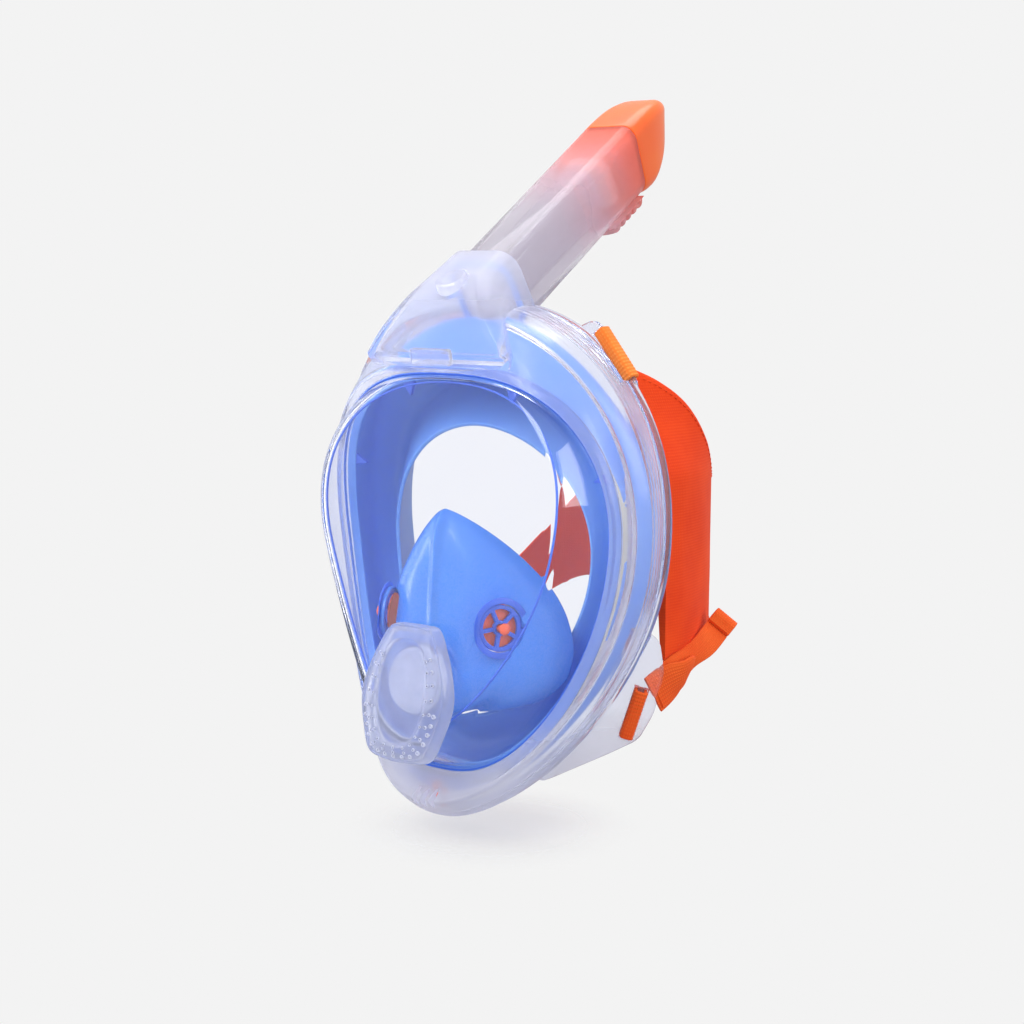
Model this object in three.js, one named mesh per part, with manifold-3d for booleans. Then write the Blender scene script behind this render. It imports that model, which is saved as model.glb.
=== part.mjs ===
// Full-face snorkel mask: a clear bathtub visor held in a two-part clear rim, a silicone face skirt
// with a nose-and-mouth pocket, one-way valves, a lift-off dry-top snorkel and a wide elastic headband.
// Millimetres, +Z up, the wearer looks along -Y, the origin is the centre of the face opening.
import * as THREE from "three";
import { LoftGeometry } from "three/addons/geometries/LoftGeometry.js";
import { mergeVertices } from "three/addons/utils/BufferGeometryUtils.js";
import Module from "manifold-3d";

const wasm = await Module();
wasm.setup();

// ---------- driving dimensions ----------
// A rail is an egg-shaped closed curve round the face: half width, reach above and below its centre
// height, depth (y) at the sides, the top and the bottom, how much it narrows downwards, and squareness;
// q is the squareness below the centre where it differs.
const RAIL = {
  crease: { w: 55.2, top: 66.7, bot: 69.0, zc: 1.2, ys: -41.7, yt: -33.3, yb: -56.0, egg: 0.34, p: 0.92 },
  glass: { w: 63.5, top: 67.8, bot: 81.2, zc: 0.3, ys: -16.1, yt: -31.4, yb: -36.6, egg: 0.16, p: 0.74 },
  crown: { w: 69.4, top: 91.0, bot: 93.0, zc: 0.0, ys: -8.5, yt: -28.0, yb: -47.0, egg: 0.15, p: 0.93 },
  band: { w: 65.5, top: 89.5, bot: 89.0, zc: 0.5, ys: -0.5, yt: -14.0, yb: -31.0, egg: 0.14, p: 1.0 },
  rim: { w: 73.3, top: 96.4, bot: 99.4, zc: -1.2, ys: 3.3, yt: -1.2, yb: -36.0, egg: 0.16, p: 1.0 },
  back: { w: 64.5, top: 75.0, bot: 80.0, zc: 0.0, ys: 16.0, yt: 5.5, yb: -9.0, egg: 0.12, p: 1.0 },
  lip: { w: 46.5, top: 50.1, bot: 60.3, zc: -2.7, ys: -5.2, yt: -12.5, yb: -21.5, egg: 0.09, p: 1.05 },
  pocketEdge: { w: 42.0, top: 43.0, bot: 33.5, zc: -25.0, ys: -11.0, yt: -32.0, yb: -24.0, egg: -0.32, p: 1.4, q: 0.65 },
  pocketWall: { w: 28.5, top: 36.0, bot: 31.0, zc: -27.0, ys: -33.0, yt: -37.0, yb: -35.5, egg: -0.26, p: 1.2, q: 0.85 },
};
const LENS_T = 2.2; // visor wall
const SHELL_T = 2.3; // clear rim walls
const LENS_CROWN_Y = -46.0; // front of the visor at its centre
const GAP = 0.35; // between pieces that meet

const TUBE = { w: 27.5, h: 28.5, r: 6.5, wall: 1.7 }; // snorkel section
const TUBE_LEAN = 57; // degrees back from vertical
const TUBE_ROOT = [0, -5.6, 98]; // where the snorkel axis leaves the rim
const TUBE_START = -1; // the tube's lower end, along its axis from the root
const TUBE_END_FRONT = 100, TUBE_END_REAR = 94.4; // its upper end is cut aslant
const SOCKET_GAP = 0.4; // socket bore round the tube

const PORT = { x: 0, y: -50.8, z: -45, tilt: 11.7, r: 13 }; // speaking valve hole in the visor
const INHALE = { x: 27.6, y: -34.4, z: -24.5, azimuth: 66, r: 8.8 }; // cheek valves in the pocket
const COVER_MID = -5.2; // height of the speaking valve cover's middle from the valve
const DRAIN = { y: -39.7, z: -91.6, r: 5.0 }; // water drain in the chin

const AROUND = 36; // facets round the face

// ---------- helpers ----------
const V = (x, y, z) => new THREE.Vector3(x, y, z);
const TAU = Math.PI * 2;
const rad = THREE.MathUtils.degToRad;

// a point of a rail; the angle runs from the top towards +X
function railPoint(R, a) {
  const s = Math.sin(a), c = Math.cos(a);
  const square = c < 0 && R.q ? R.q : R.p;
  return V(
    R.w * Math.sign(s) * Math.abs(s) ** square * (1 + R.egg * c),
    R.ys + (c > 0 ? R.yt - R.ys : R.yb - R.ys) * c * c,
    R.zc + (c > 0 ? R.top : R.bot) * c,
  );
}
// the same rail moved outwards in the XZ plane and back in Y
const edge = (R, out = 0, back = 0) => (a) => {
  const p = railPoint(R, a), q1 = railPoint(R, a + 0.01), q0 = railPoint(R, a - 0.01);
  const tx = q1.x - q0.x, tz = q1.z - q0.z, l = Math.hypot(tx, tz) || 1;
  return V(p.x - (tz / l) * out, p.y + back, p.z + (tx / l) * out);
};
const between = (f, g, t, out = 0, back = 0) => (a) => {
  const p = f(a).lerp(g(a), t);
  const q1 = f(a + 0.01).lerp(g(a + 0.01), t), q0 = f(a - 0.01).lerp(g(a - 0.01), t);
  const tx = q1.x - q0.x, tz = q1.z - q0.z, l = Math.hypot(tx, tz) || 1;
  return V(p.x - (tz / l) * out, p.y + back, p.z + (tx / l) * out);
};
const ring = (f, n) => Array.from({ length: n }, (_, i) => f((i / n) * TAU));

// merges shared vertices and turns the faces outwards
function closed(geo) {
  const g = new THREE.BufferGeometry().copy(geo);
  g.deleteAttribute("normal");
  g.deleteAttribute("uv");
  const m = mergeVertices(g, 1e-3);
  const p = m.attributes.position, ix = Array.from(m.index.array);
  const keep = [];
  let vol = 0;
  const a = V(0, 0, 0), b = V(0, 0, 0), c = V(0, 0, 0);
  for (let i = 0; i < ix.length; i += 3) {
    const [i0, i1, i2] = [ix[i], ix[i + 1], ix[i + 2]];
    if (i0 === i1 || i1 === i2 || i0 === i2) continue;
    keep.push(i0, i1, i2);
    a.fromBufferAttribute(p, i0);
    b.fromBufferAttribute(p, i1);
    c.fromBufferAttribute(p, i2);
    vol += a.dot(b.clone().cross(c));
  }
  if (vol < 0) for (let i = 0; i < keep.length; i += 3) [keep[i + 1], keep[i + 2]] = [keep[i + 2], keep[i + 1]];
  m.setIndex(keep);
  return m;
}
// rings skinned in order, closed back to the first one
const hoop = (fns, n) => {
  const rows = fns.map((f) => ring(f, n));
  return closed(new LoftGeometry([...rows, rows[0]]));
};
// rings skinned in order, each end drawn together to the middle of its ring
const pole = (row) => {
  const c = row.reduce((s, p) => s.add(p), V(0, 0, 0)).divideScalar(row.length);
  return row.map(() => c.clone());
};
const capped = (rows) => closed(new LoftGeometry([pole(rows[0]), ...rows, pole(rows.at(-1))]));

const solid = (g) => {
  const m = closed(g);
  return new wasm.Manifold(new wasm.Mesh({
    numProp: 3, vertProperties: new Float32Array(m.attributes.position.array), triVerts: new Uint32Array(m.index.array),
  }));
};
const geometry = (man) => {
  const m = man.getMesh(), g = new THREE.BufferGeometry(), n = m.numProp, k = m.vertProperties.length / n;
  const pos = new Float32Array(k * 3);
  for (let i = 0; i < k; i++) for (let j = 0; j < 3; j++) pos[i * 3 + j] = m.vertProperties[i * n + j];
  g.setAttribute("position", new THREE.BufferAttribute(pos, 3));
  g.setIndex(new THREE.BufferAttribute(new Uint32Array(m.triVerts), 1));
  return g;
};
const cut = (g, ...tools) => geometry(tools.reduce((m, t) => m.subtract(solid(t)), solid(g)));
const join = (...gs) => geometry(gs.slice(1).reduce((m, t) => m.add(solid(t)), solid(gs[0])));

const mats = {
  clear: new THREE.MeshStandardMaterial({ color: 0xe9ebf7, roughness: 0.08, transparent: true, opacity: 0.35 }),
  frosted: new THREE.MeshStandardMaterial({ color: 0xe4e6f2, roughness: 0.35, transparent: true, opacity: 0.55 }),
  blue: new THREE.MeshStandardMaterial({ color: 0x4c8ceb, roughness: 0.45 }),
  orange: new THREE.MeshStandardMaterial({ color: 0xff7a2e, roughness: 0.4 }),
  web: new THREE.MeshStandardMaterial({ color: 0xf0561e, roughness: 0.9 }),
  band: new THREE.MeshStandardMaterial({ color: 0xe8430f, roughness: 0.95 }),
  white: new THREE.MeshStandardMaterial({ color: 0xf2f3f7, roughness: 0.4 }),
};
const mask = new THREE.Group();
const add = (name, geo, mat, parent = mask) => {
  const m = new THREE.Mesh(geo, mats[mat]);
  m.name = name;
  parent.add(m);
  return m;
};
// a frame whose +Y points along an axis
const frameOn = (pos, axis) => {
  const g = new THREE.Group();
  g.position.copy(pos);
  g.quaternion.setFromUnitVectors(V(0, 1, 0), axis.clone().normalize());
  return g;
};
const placed = (geo, pos, axis) => {
  const f = frameOn(pos, axis);
  f.updateMatrix();
  return geo.clone().applyMatrix4(f.matrix);
};
const lathe = (pts, n = 28) => closed(new THREE.LatheGeometry(pts.map(([r, y]) => new THREE.Vector2(r, y)), n));
const rod = (r, y0, y1, n = 24) => lathe([[0, y0], [r, y0], [r, y1], [0, y1]], n);

// a flat plate with one hole; the outline turns against the hole
function plate(outline, hole, depth) {
  const ccw = (pts) => (THREE.ShapeUtils.area(pts) > 0 ? pts : [...pts].reverse());
  const v = (pts) => ccw(pts.map(([x, y]) => new THREE.Vector2(x, y)));
  const s = new THREE.Shape(v(outline));
  if (hole) s.holes.push(new THREE.Path([...v(hole)].reverse()));
  return new THREE.ExtrudeGeometry(s, { depth, bevelEnabled: false });
}

// ---------- snorkel axis ----------
const D = V(0, Math.sin(rad(TUBE_LEAN)), Math.cos(rad(TUBE_LEAN))); // along the tube, up and back
const N = V(0, -Math.cos(rad(TUBE_LEAN)), Math.sin(rad(TUBE_LEAN))); // to its front face
const ROOT = V(...TUBE_ROOT);
const onTube = (x, n, l) => ROOT.clone().add(V(x, 0, 0)).addScaledVector(N, n).addScaledVector(D, l);
// a rounded-rectangle section; lFront and lRear are where its front and rear edges lie along the tube
function section(w, nTop, nBot, r, lFront, lRear = lFront, k = 3) {
  const h = nTop - nBot, mid = (nTop + nBot) / 2, pts = [];
  for (const [sx, sn, a0] of [[1, 1, 0], [-1, 1, 90], [-1, -1, 180], [1, -1, 270]])
    for (let i = 0; i <= k; i++) {
      const a = rad(a0 + (90 * i) / k);
      const x = sx * (w / 2 - r) + r * Math.cos(a), n = mid + sn * (h / 2 - r) + r * Math.sin(a);
      pts.push(onTube(x, n, lRear + ((lFront - lRear) * (n - nBot)) / h));
    }
  return pts;
}
const tubeSection = (grow, lF, lR = lF, k = 3) =>
  section(TUBE.w + 2 * grow, TUBE.h / 2 + grow, -TUBE.h / 2 - grow, TUBE.r + grow, lF, lR, k);

// ---------- visor ----------
{
  const n = AROUND, C = RAIL.crease, G = RAIL.glass;
  const panel = (k, inset, dy) => (a) => {
    const p = edge(C, -inset)(a), c = V(0, LENS_CROWN_Y, C.zc);
    return V(p.x * k, c.y + (p.y - c.y) * k * k + dy, c.z + (p.z - c.z) * k);
  };
  const outer = [
    panel(0.05, 0, 0), panel(0.55, 0, 0), panel(0.955, 0, 0.1), edge(C, 0, 1.6),
    between(edge(C), edge(G), 0.5, 0.9, -0.6), edge(G, 0.3, -1.0), edge(G, 4.0, 0.2),
  ];
  const inner = [
    edge(G, 4.0, LENS_T), edge(G, -1.6, LENS_T), between(edge(C, -2.2), edge(G, -2.0), 0.5, 0.9, 0.6),
    edge(C, -2.3, 3.4), panel(0.935, 1.2, LENS_T), panel(0.55, 0, LENS_T), panel(0.05, 0, LENS_T),
  ];
  const shell = capped([...outer, ...inner].map((f) => ring(f, n)));
  const axis = V(0, -Math.cos(rad(PORT.tilt)), Math.sin(rad(PORT.tilt)));
  add("visor_lens", cut(shell, placed(rod(PORT.r, -12, 12, 32), V(PORT.x, PORT.y, PORT.z), axis)), "clear");
}

// ---------- hood that carries the snorkel socket ----------
const hoodRow = (l, w, top, bot, r, inset = 0) => section(w - 2 * inset, top - inset, bot + inset, r, l, l);
const HOOD = [
  [-40, 68, 1, -6, 3], [-34, 61, 8.5, -11, 8], [-24, 48, 14.8, -20, 9], [-14, 38, 17.3, -19, 9],
  [-4, 33.4, 17.6, -17.4, 8], [3, 32.6, 17.4, -17.2, 8],
];
const hood = capped(HOOD.map(([l, w, t, b, r]) => hoodRow(l, w, t, b, r)));
const hoodRoom = capped(HOOD.map(([l, w, t, b, r], i) =>
  hoodRow(i === 0 ? -36 : i === HOOD.length - 1 ? 6 : l, w, t, b, r - 1, i > 3 ? 2.15 : SHELL_T)));
const socketBore = capped([tubeSection(SOCKET_GAP, -12), tubeSection(SOCKET_GAP, 30)]);
const hoodClear = capped([section(34.6, 19, -18.6, 8, -24), section(33.4, 18.2, -17.9, 8, 3.6)]);

// ---------- upper strap slots, with a notch for them in the front rim's edge ----------
const SLOT_MID = V(48.4, 5, 74.6); // middle of the slot on the +X side
const SLOT_ALONG = V(0.62, 0, -0.785).normalize(); // the way the webbing's width runs
const SLOT_OUT = V(0.785, 0, 0.62).normalize(); // towards the rim's outer edge
const SLOT_HALF = 12.1; // half the slot's length
const mirrored = (g, sx) => (sx > 0 ? g : g.clone().applyMatrix4(new THREE.Matrix4().makeScale(-1, 1, 1)));
const slotBlock = (out0, out1, y0, y1, half, sx) => {
  const row = (k) => [[out0, y0], [out1, y0], [out1, y1], [out0, y1]].map(([o, y]) =>
    V(SLOT_MID.x, y, SLOT_MID.z).addScaledVector(SLOT_OUT, o).addScaledVector(SLOT_ALONG, k));
  return mirrored(capped([row(-half), row(half)]), sx);
};
const strapSlot = (sx) => slotBlock(-1.25, 1.25, 0, 40, SLOT_HALF, sx);
const strapNotch = (sx) => slotBlock(-1.35, 12, -0.6, 12, SLOT_HALF, sx);
const rearNotch = (sx) => slotBlock(-1.35, 12, -0.6, 5.3, SLOT_HALF, sx);

// ---------- front bezel ----------
const BUTTON = onTube(0, 17.6, -17);
{
  const n = AROUND, G = RAIL.glass, M = RAIL.crown, S = RAIL.rim;
  const front = [
    edge(G, 1.0, -3.4), edge(G, 3.2, -4.6), edge(M, 0, 0), between(edge(M), edge(S), 0.5, 1.4, -0.6),
    edge(S, 0, 0), edge(S, 0, 2.0),
  ];
  const inside = [
    edge(S, -SHELL_T, 2.0), between(edge(M), edge(S), 0.5, -1.0, 1.2), edge(M, -1.6, 2.3),
    edge(G, 4.8, 0.3), edge(G, 4.4, -0.5), edge(G, 1.0, -1.6),
  ];
  const shell = hoop([...front, ...inside], n);
  // everything behind the shell, where the hood must not reach
  const behind = capped([edge(S, -SHELL_T, 40), ...inside.slice(0, 5)].map((f) => ring(f, n)));
  const slot = (x, z) => {
    const s = new THREE.Shape();
    s.absellipse(0, 0, 1.3, 3.4, 0, TAU, false, 0);
    const g = new THREE.ExtrudeGeometry(s, { depth: 12, bevelEnabled: false, curveSegments: 5 });
    g.rotateX(Math.PI / 2).translate(x, -40.5, z);
    return g;
  };
  const buttonHole = placed(rod(6.9, -6, 6, 20), BUTTON, N);
  const whole = join(shell, cut(hood, behind));
  const drainSlots = [slot(-4.2, -91.5), slot(0, -92.2), slot(4.2, -91.5)];
  add("front_bezel", cut(whole, hoodRoom, socketBore, buttonHole, strapNotch(1), strapNotch(-1), ...drainSlots), "clear");
}

// ---------- rear rim with strap lugs ----------
// the lower lugs lean back from the rim; each has a bar between two slots
const LUG_X = 0.75, LUG_Z = -0.16, LUG_Y = -46.5, LUG_T = 4.4;
const lugAt = (x, z) => V(x, LUG_Y + LUG_X * x + LUG_Z * z, z);
const BAR_MID = lugAt(58.8, -59.4);
const BAR_ALONG = lugAt(62.1, -49).sub(lugAt(55.5, -69.8)).normalize();
const BAR_BACK = V(-LUG_X, 1, -LUG_Z).normalize();
const BAR_OUT = BAR_BACK.clone().cross(BAR_ALONG).multiplyScalar(-1).normalize();
const lowerBlock = (o0, o1, d0, d1, half) => {
  const row = (k) => [[o0, d0], [o1, d0], [o1, d1], [o0, d1]].map(([o, d]) =>
    BAR_MID.clone().addScaledVector(BAR_OUT, o).addScaledVector(BAR_BACK, d).addScaledVector(BAR_ALONG, k));
  return capped([row(-half), row(half)]);
};
{
  const n = AROUND, S = RAIL.rim;
  const shell = hoop([edge(S, -0.2, 2.4), edge(S, 0.1, 5.6), edge(S, -2.2, 9.2), edge(S, -5.6, 8.4), edge(S, -5.4, 2.4)], n);
  // a lug is a flat ear with a slot, leaning back from the rim
  const upperLug = (sx) => {
    const row = (y) => [[-6, -18.5], [1.2, -16.5], [3.0, -13.5], [3.0, 13.5], [1.2, 16.5], [-6, 18.5]].map(([o, k]) =>
      V(SLOT_MID.x, y, SLOT_MID.z).addScaledVector(SLOT_OUT, o).addScaledVector(SLOT_ALONG, k));
    return mirrored(capped([row(5.4), row(8.0)]), sx);
  };
  const lowerLug = (sx) => {
    const ear = [
      [62, -24], [56, -44], [44, -68], [28, -82], [30, -88], [50, -77], [60, -71], [65.5, -60], [69.5, -44], [69, -31],
    ];
    const g = plate(ear, null, LUG_T);
    // the ear's plane: x stays, the drawn height becomes z, the thickness runs along y
    g.rotateX(Math.PI / 2);
    g.applyMatrix4(new THREE.Matrix4().set(1, 0, 0, 0, LUG_X, 1, LUG_Z, LUG_Y, 0, 0, 1, 0, 0, 0, 0, 1));
    return mirrored(cut(g, lowerBlock(-2.9, -1.0, -9, 4, 10.8), lowerBlock(1.0, 2.9, -9, 4, 10.8)), sx);
  };
  const whole = join(shell, upperLug(1), upperLug(-1), lowerLug(1), lowerLug(-1));
  const tubeClear = capped([tubeSection(GAP, -20), tubeSection(GAP, 40)]);
  const strapCuts = [1, -1].flatMap((sx) => [strapSlot(sx), rearNotch(sx)]);
  add("rear_rim", cut(whole, tubeClear, hoodClear, ...strapCuts), "clear");
}

// ---------- silicone skirt ----------
{
  const n = AROUND, G = RAIL.glass, B = RAIL.band, K = RAIL.back, F = RAIL.lip;
  add("face_skirt", hoop([
    edge(G, -2.6, 2.7), edge(G, 3.6, 2.7), edge(B, 0.4, -1.6), between(edge(B), edge(K), 0.5, 0.8, 0),
    edge(K, 0, -1.5), edge(K, -2.2, 1.4), edge(K, -6, 1.8), edge(F, 0.8, 1.0), edge(F, 0, 0),
    edge(F, 1.3, -0.9), edge(K, -4.4, -2.6), edge(B, -1.8, 0.5), edge(G, -2.0, 5.2),
  ], n), "blue");
}

// ---------- nose and mouth pocket ----------
const inhaleAxis = (sx) => V(sx * Math.sin(rad(INHALE.azimuth)), -Math.cos(rad(INHALE.azimuth)), 0.06).normalize();
const inhaleAt = (sx) => V(sx * INHALE.x, INHALE.y, INHALE.z);
const portAxis = V(0, -Math.cos(rad(PORT.tilt)), Math.sin(rad(PORT.tilt)));
const portAt = V(PORT.x, PORT.y, PORT.z);
{
  const n = 28, E = RAIL.pocketEdge, W = RAIL.pocketWall;
  const up = V(0, Math.sin(rad(PORT.tilt)), Math.cos(rad(PORT.tilt)));
  const neck = (r, back) => (a) =>
    portAt.clone().addScaledVector(V(1, 0, 0), r * Math.sin(a)).addScaledVector(up, r * Math.cos(a)).addScaledVector(portAxis, -back);
  const T = 1.7;
  const shell = hoop([
    neck(15.6, 3.6), neck(16.4, 5.6), edge(W, 0, 0), between(edge(W), edge(E), 0.5, 1.6, 0), edge(E, 0, -0.4),
    edge(E, -T, 0.8), between(edge(W, -T), edge(E, -T), 0.5, 1.2, 0.5), edge(W, -T, 1.0), neck(14.2, 6.2), neck(13.6, 3.6),
  ], n);
  const bore = (sx) => placed(rod(INHALE.r + 0.35, -5.5, 5.5, 20), inhaleAt(sx), inhaleAxis(sx));
  const pads = [1, -1].map((sx) => placed(rod(INHALE.r + 0.9, -1.6, 0.4, 20), inhaleAt(sx), inhaleAxis(sx)));
  add("nose_pocket", cut(join(shell, ...pads), bore(1), bore(-1)), "blue");
}

// a seat: a ring with spokes and a hub, its axis along +Y, its face at y = 0
function spokedSeat(r, spokes, hub, bore, t = 1.6, rimW = 1.5) {
  const arc = (q, a0, a1, k) => Array.from({ length: k + 1 }, (_, i) => {
    const a = a0 + ((a1 - a0) * i) / k;
    return new THREE.Vector2(q * Math.cos(a), q * Math.sin(a));
  });
  const s = new THREE.Shape(arc(r, 0, TAU * (19 / 20), 19));
  const gap = 1.5, ri = r - rimW; // spoke width, inner edge of the ring
  for (let i = 0; i < spokes; i++) {
    const a0 = (i / spokes) * TAU, a1 = ((i + 1) / spokes) * TAU;
    const o = Math.asin(gap / 2 / ri), q = Math.asin(gap / 2 / hub);
    s.holes.push(new THREE.Path([...arc(ri, a0 + o, a1 - o, 4), ...arc(hub, a1 - q, a0 + q, 2)].reverse()));
  }
  if (bore) s.holes.push(new THREE.Path(arc(bore, 0, TAU * (9 / 10), 9).reverse()));
  return new THREE.ExtrudeGeometry(s, { depth: t, bevelEnabled: false }).rotateX(-Math.PI / 2).translate(0, -t, 0);
}
// a mushroom membrane: its disc lies just under y = 0 and its stem comes up through the hub
const mushroom = (r, t, stem, reach, knob) =>
  lathe([[0, -t], [r, -t + 0.2], [r, 0], [stem, 0], [stem, reach], [knob, reach + 0.3], [knob, reach + 1.4], [0, reach + 2.2]], 16);

// ---------- cheek valves, opening inwards ----------
for (const [side, sx] of [["right", -1], ["left", 1]]) {
  const f = frameOn(inhaleAt(sx), inhaleAxis(sx));
  mask.add(f);
  add(`inhale_seat_${side}`, spokedSeat(INHALE.r, 5, 2.9, 1.7, 1.6, 1.6), "blue", f);
  const m = add(`inhale_membrane_${side}`, mushroom(INHALE.r - 1.2, 0.9, 1.3, 4.4, 2.2), "orange", f);
  m.position.set(0, -1.6 - 0.35, 0);
}

// ---------- speaking valve ----------
{
  const f = frameOn(portAt, portAxis);
  mask.add(f);
  const seat = add("speak_seat", spokedSeat(PORT.r - 0.4, 4, 3.4, 1.8, 2.0, 2.0), "white", f);
  seat.position.y = 0.6;
  // the disc lies on the front of the seat and its stem goes back through the hub
  const discR = PORT.r - 1.8;
  const disc = add("speak_membrane", lathe(
    [[0, 1.0], [discR, 0.8], [discR, 0], [1.4, 0], [1.4, -5.2], [2.4, -5.5], [2.4, -6.6], [0, -7.2]], 20), "white", f);
  disc.position.y = 0.95;
  // the cover is a shallow perforated shield over the valve, reaching down to the chin
  const up = V(0, Math.sin(rad(PORT.tilt)), Math.cos(rad(PORT.tilt)));
  const half = [[4, 20.9], [9.6, 20.2], [15.2, 11.5], [19.8, -0.5], [20.8, -8], [18.2, -19], [13.6, -29], [5, -31.2]];
  const shield = new THREE.CatmullRomCurve3(
    [...half, ...half.map(([x, u]) => [-x, u]).reverse()].map(([x, u]) => V(x, u - COVER_MID, 0)), true, "centripetal");
  const outline = shield.getSpacedPoints(36).slice(1);
  const row = (k, h) => outline.map((q) =>
    portAt.clone().add(V(q.x * k, 0, 0)).addScaledVector(up, q.y * k + COVER_MID).addScaledVector(portAxis, h));
  const dome = capped([
    row(0.04, 9.8), row(0.55, 9.2), row(0.86, 7.4), row(1.0, 1.7), row(0.93, 1.7), row(0.81, 5.8), row(0.52, 7.5), row(0.04, 8.0),
  ].reverse());
  const holes = [];
  for (const [x, u] of [[9.5, -21], [4.8, -23.5], [14, -14.5], [15.6, -8], [14.8, -1.5]])
    for (const side of [x, -x])
      holes.push(placed(rod(1.3, -3, 14, 6), portAt.clone().add(V(side, 0, 0)).addScaledVector(up, u), portAxis));
  add("speak_cover", cut(dome, ...holes), "clear");
}

// ---------- chin drain ----------
{
  const f = frameOn(V(0, DRAIN.y, DRAIN.z), V(0, -1, 0));
  mask.add(f);
  const seat = add("drain_seat", spokedSeat(DRAIN.r, 4, 2.2, 1.3, 1.2, 1.2), "white", f);
  seat.position.y = -3.0;
  const discR = DRAIN.r - 0.8;
  const disc = add("drain_membrane", lathe([[0, 0.7], [discR, 0.6], [discR, 0], [0.8, 0], [0.8, -1.5], [0, -1.7]], 16), "orange", f);
  disc.position.y = -2.65;
}

// ---------- snorkel ----------
{
  const W = TUBE.wall;
  const shellRows = [
    tubeSection(0, TUBE_START), tubeSection(0, TUBE_END_FRONT, TUBE_END_REAR),
    tubeSection(-W, TUBE_END_FRONT, TUBE_END_REAR), tubeSection(-W, TUBE_START),
  ];
  add("snorkel_tube", closed(new LoftGeometry([...shellRows, shellRows[0]])), "clear");
  // the inner air duct stands clear of the tube's walls
  const duct = (g, l) => section(11.5 + 2 * g, 10.5 + g, -10.5 - g, 2.4 + g, l);
  const ductRows = [duct(0, TUBE_START + 1), duct(0, 70), duct(-1.1, 70), duct(-1.1, TUBE_START + 1)];
  add("air_duct", closed(new LoftGeometry([...ductRows, ductRows[0]])), "clear");
  // the float chamber fills the top of the tube
  const cw = -W - GAP;
  const chamberRows = [
    tubeSection(cw, 72), tubeSection(cw, 98.6, 93.6), tubeSection(cw - 1.3, 98.6, 93.6), tubeSection(cw - 1.3, 73.6),
    section(9.2, 8.2, -8.2, 2.2, 73.6), section(9.2, 8.2, -8.2, 2.2, 72),
  ];
  add("float_chamber", closed(new LoftGeometry([...chamberRows, chamberRows[0]])), "orange");
  // the float lies on the chamber's floor and rises against the seal above it
  const seal = (l) => section(20.1, 10.5, -10.5, 3.2, l), hole = (l) => section(10.5, 7, -7, 2.4, l);
  const sealRows = [seal(88), seal(89.8), hole(89.8), hole(88)];
  add("float_seal", closed(new LoftGeometry([...sealRows, sealRows[0]])), "blue");
  add("dry_top_float", capped([
    section(15, 8.6, -8.6, 3, 74.0), section(18, 9.8, -9.8, 4.6, 75.6),
    section(18, 9.8, -9.8, 4.6, 80.6), section(14, 8.4, -8.4, 4.0, 82.8),
  ]), "white");
  // the cap leans over to an oblique rear face
  const capRow = (nA, lA, nB, lB, w, r, k = 3) => {
    const pts = [], A = [nA, lA], B = [nB, lB], h = Math.hypot(nA - nB, lA - lB);
    for (const [sx, st, a0] of [[1, 1, 0], [-1, 1, 90], [-1, -1, 180], [1, -1, 270]])
      for (let i = 0; i <= k; i++) {
        const a = rad(a0 + (90 * i) / k), x = sx * (w / 2 - r) + r * Math.cos(a);
        const t = 0.5 + (st * (h / 2 - r) + r * Math.sin(a)) / h;
        pts.push(onTube(x, B[0] + (A[0] - B[0]) * t, B[1] + (A[1] - B[1]) * t));
      }
    return pts;
  };
  const o = 0.35;
  const cap = capped([
    capRow(3, 127, -3, 123.5, 3, 1.2), capRow(7.2, 123.5, -6, 115, 15, 4.5), capRow(10.8, 116, -10.6, 104, 21, 5),
    capRow(12.4, 102, -12.4, 96.4, 23.4, 4.9), capRow(12.4, TUBE_END_FRONT + o, -12.4, TUBE_END_REAR + o, 23.4, 4.9),
    capRow(14.25, TUBE_END_FRONT + o, -14.25, TUBE_END_REAR + o, 27.5, 6.4), capRow(14.3, 104, -14.6, 97.5, 27.5, 6.4),
    capRow(13.7, 117, -14.4, 104.5, 26.4, 6.2), capRow(11.0, 127.5, -9.5, 115.5, 22.5, 5.6),
    capRow(7.0, 133, -2.6, 125.4, 16, 4.2), capRow(4.6, 133.6, -0.4, 128.4, 11, 2.4),
  ]);
  add("top_cap", cap, "orange");
  // ribbed outlet guard along the tube's rear face
  const ribs = [];
  const base = -TUBE.h / 2;
  const guardRow = (l, g) => [
    [-12.2, base - 0.35], [12.2, base - 0.35], [11.4, base - 2.2 - g], [6, base - 3.6 - g],
    [0, base - 4 - g], [-6, base - 3.6 - g], [-11.4, base - 2.2 - g],
  ].map(([x, n]) => onTube(x, n, l));
  const guard = [guardRow(68, -1.6)];
  for (let l = 71; l < 92; l += 4.6)
    guard.push(guardRow(l, 1.2), guardRow(l + 2.0, 1.2), guardRow(l + 2.8, -0.4), guardRow(l + 4.0, -0.4));
  add("outlet_guard", capped(guard), "clear");
  const gasketFoot = TUBE_START - 2.6, gasketTop = TUBE_START - GAP;
  const gasketRows = [
    tubeSection(-0.1, gasketFoot), tubeSection(-0.1, gasketTop), tubeSection(-W, gasketTop), tubeSection(-W, gasketFoot),
  ];
  add("base_gasket", closed(new LoftGeometry([...gasketRows, gasketRows[0]])), "blue");
}

// ---------- release button ----------
{
  const f = frameOn(BUTTON, N);
  mask.add(f);
  const b = add("release_button", lathe([[0, -3.4], [6.4, -3.4], [6.4, 0.4], [5.6, 1.2], [3.6, 0.7], [0, 0.5]], 20), "clear", f);
  b.scale.set(1, 1, 0.96);
}

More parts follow.
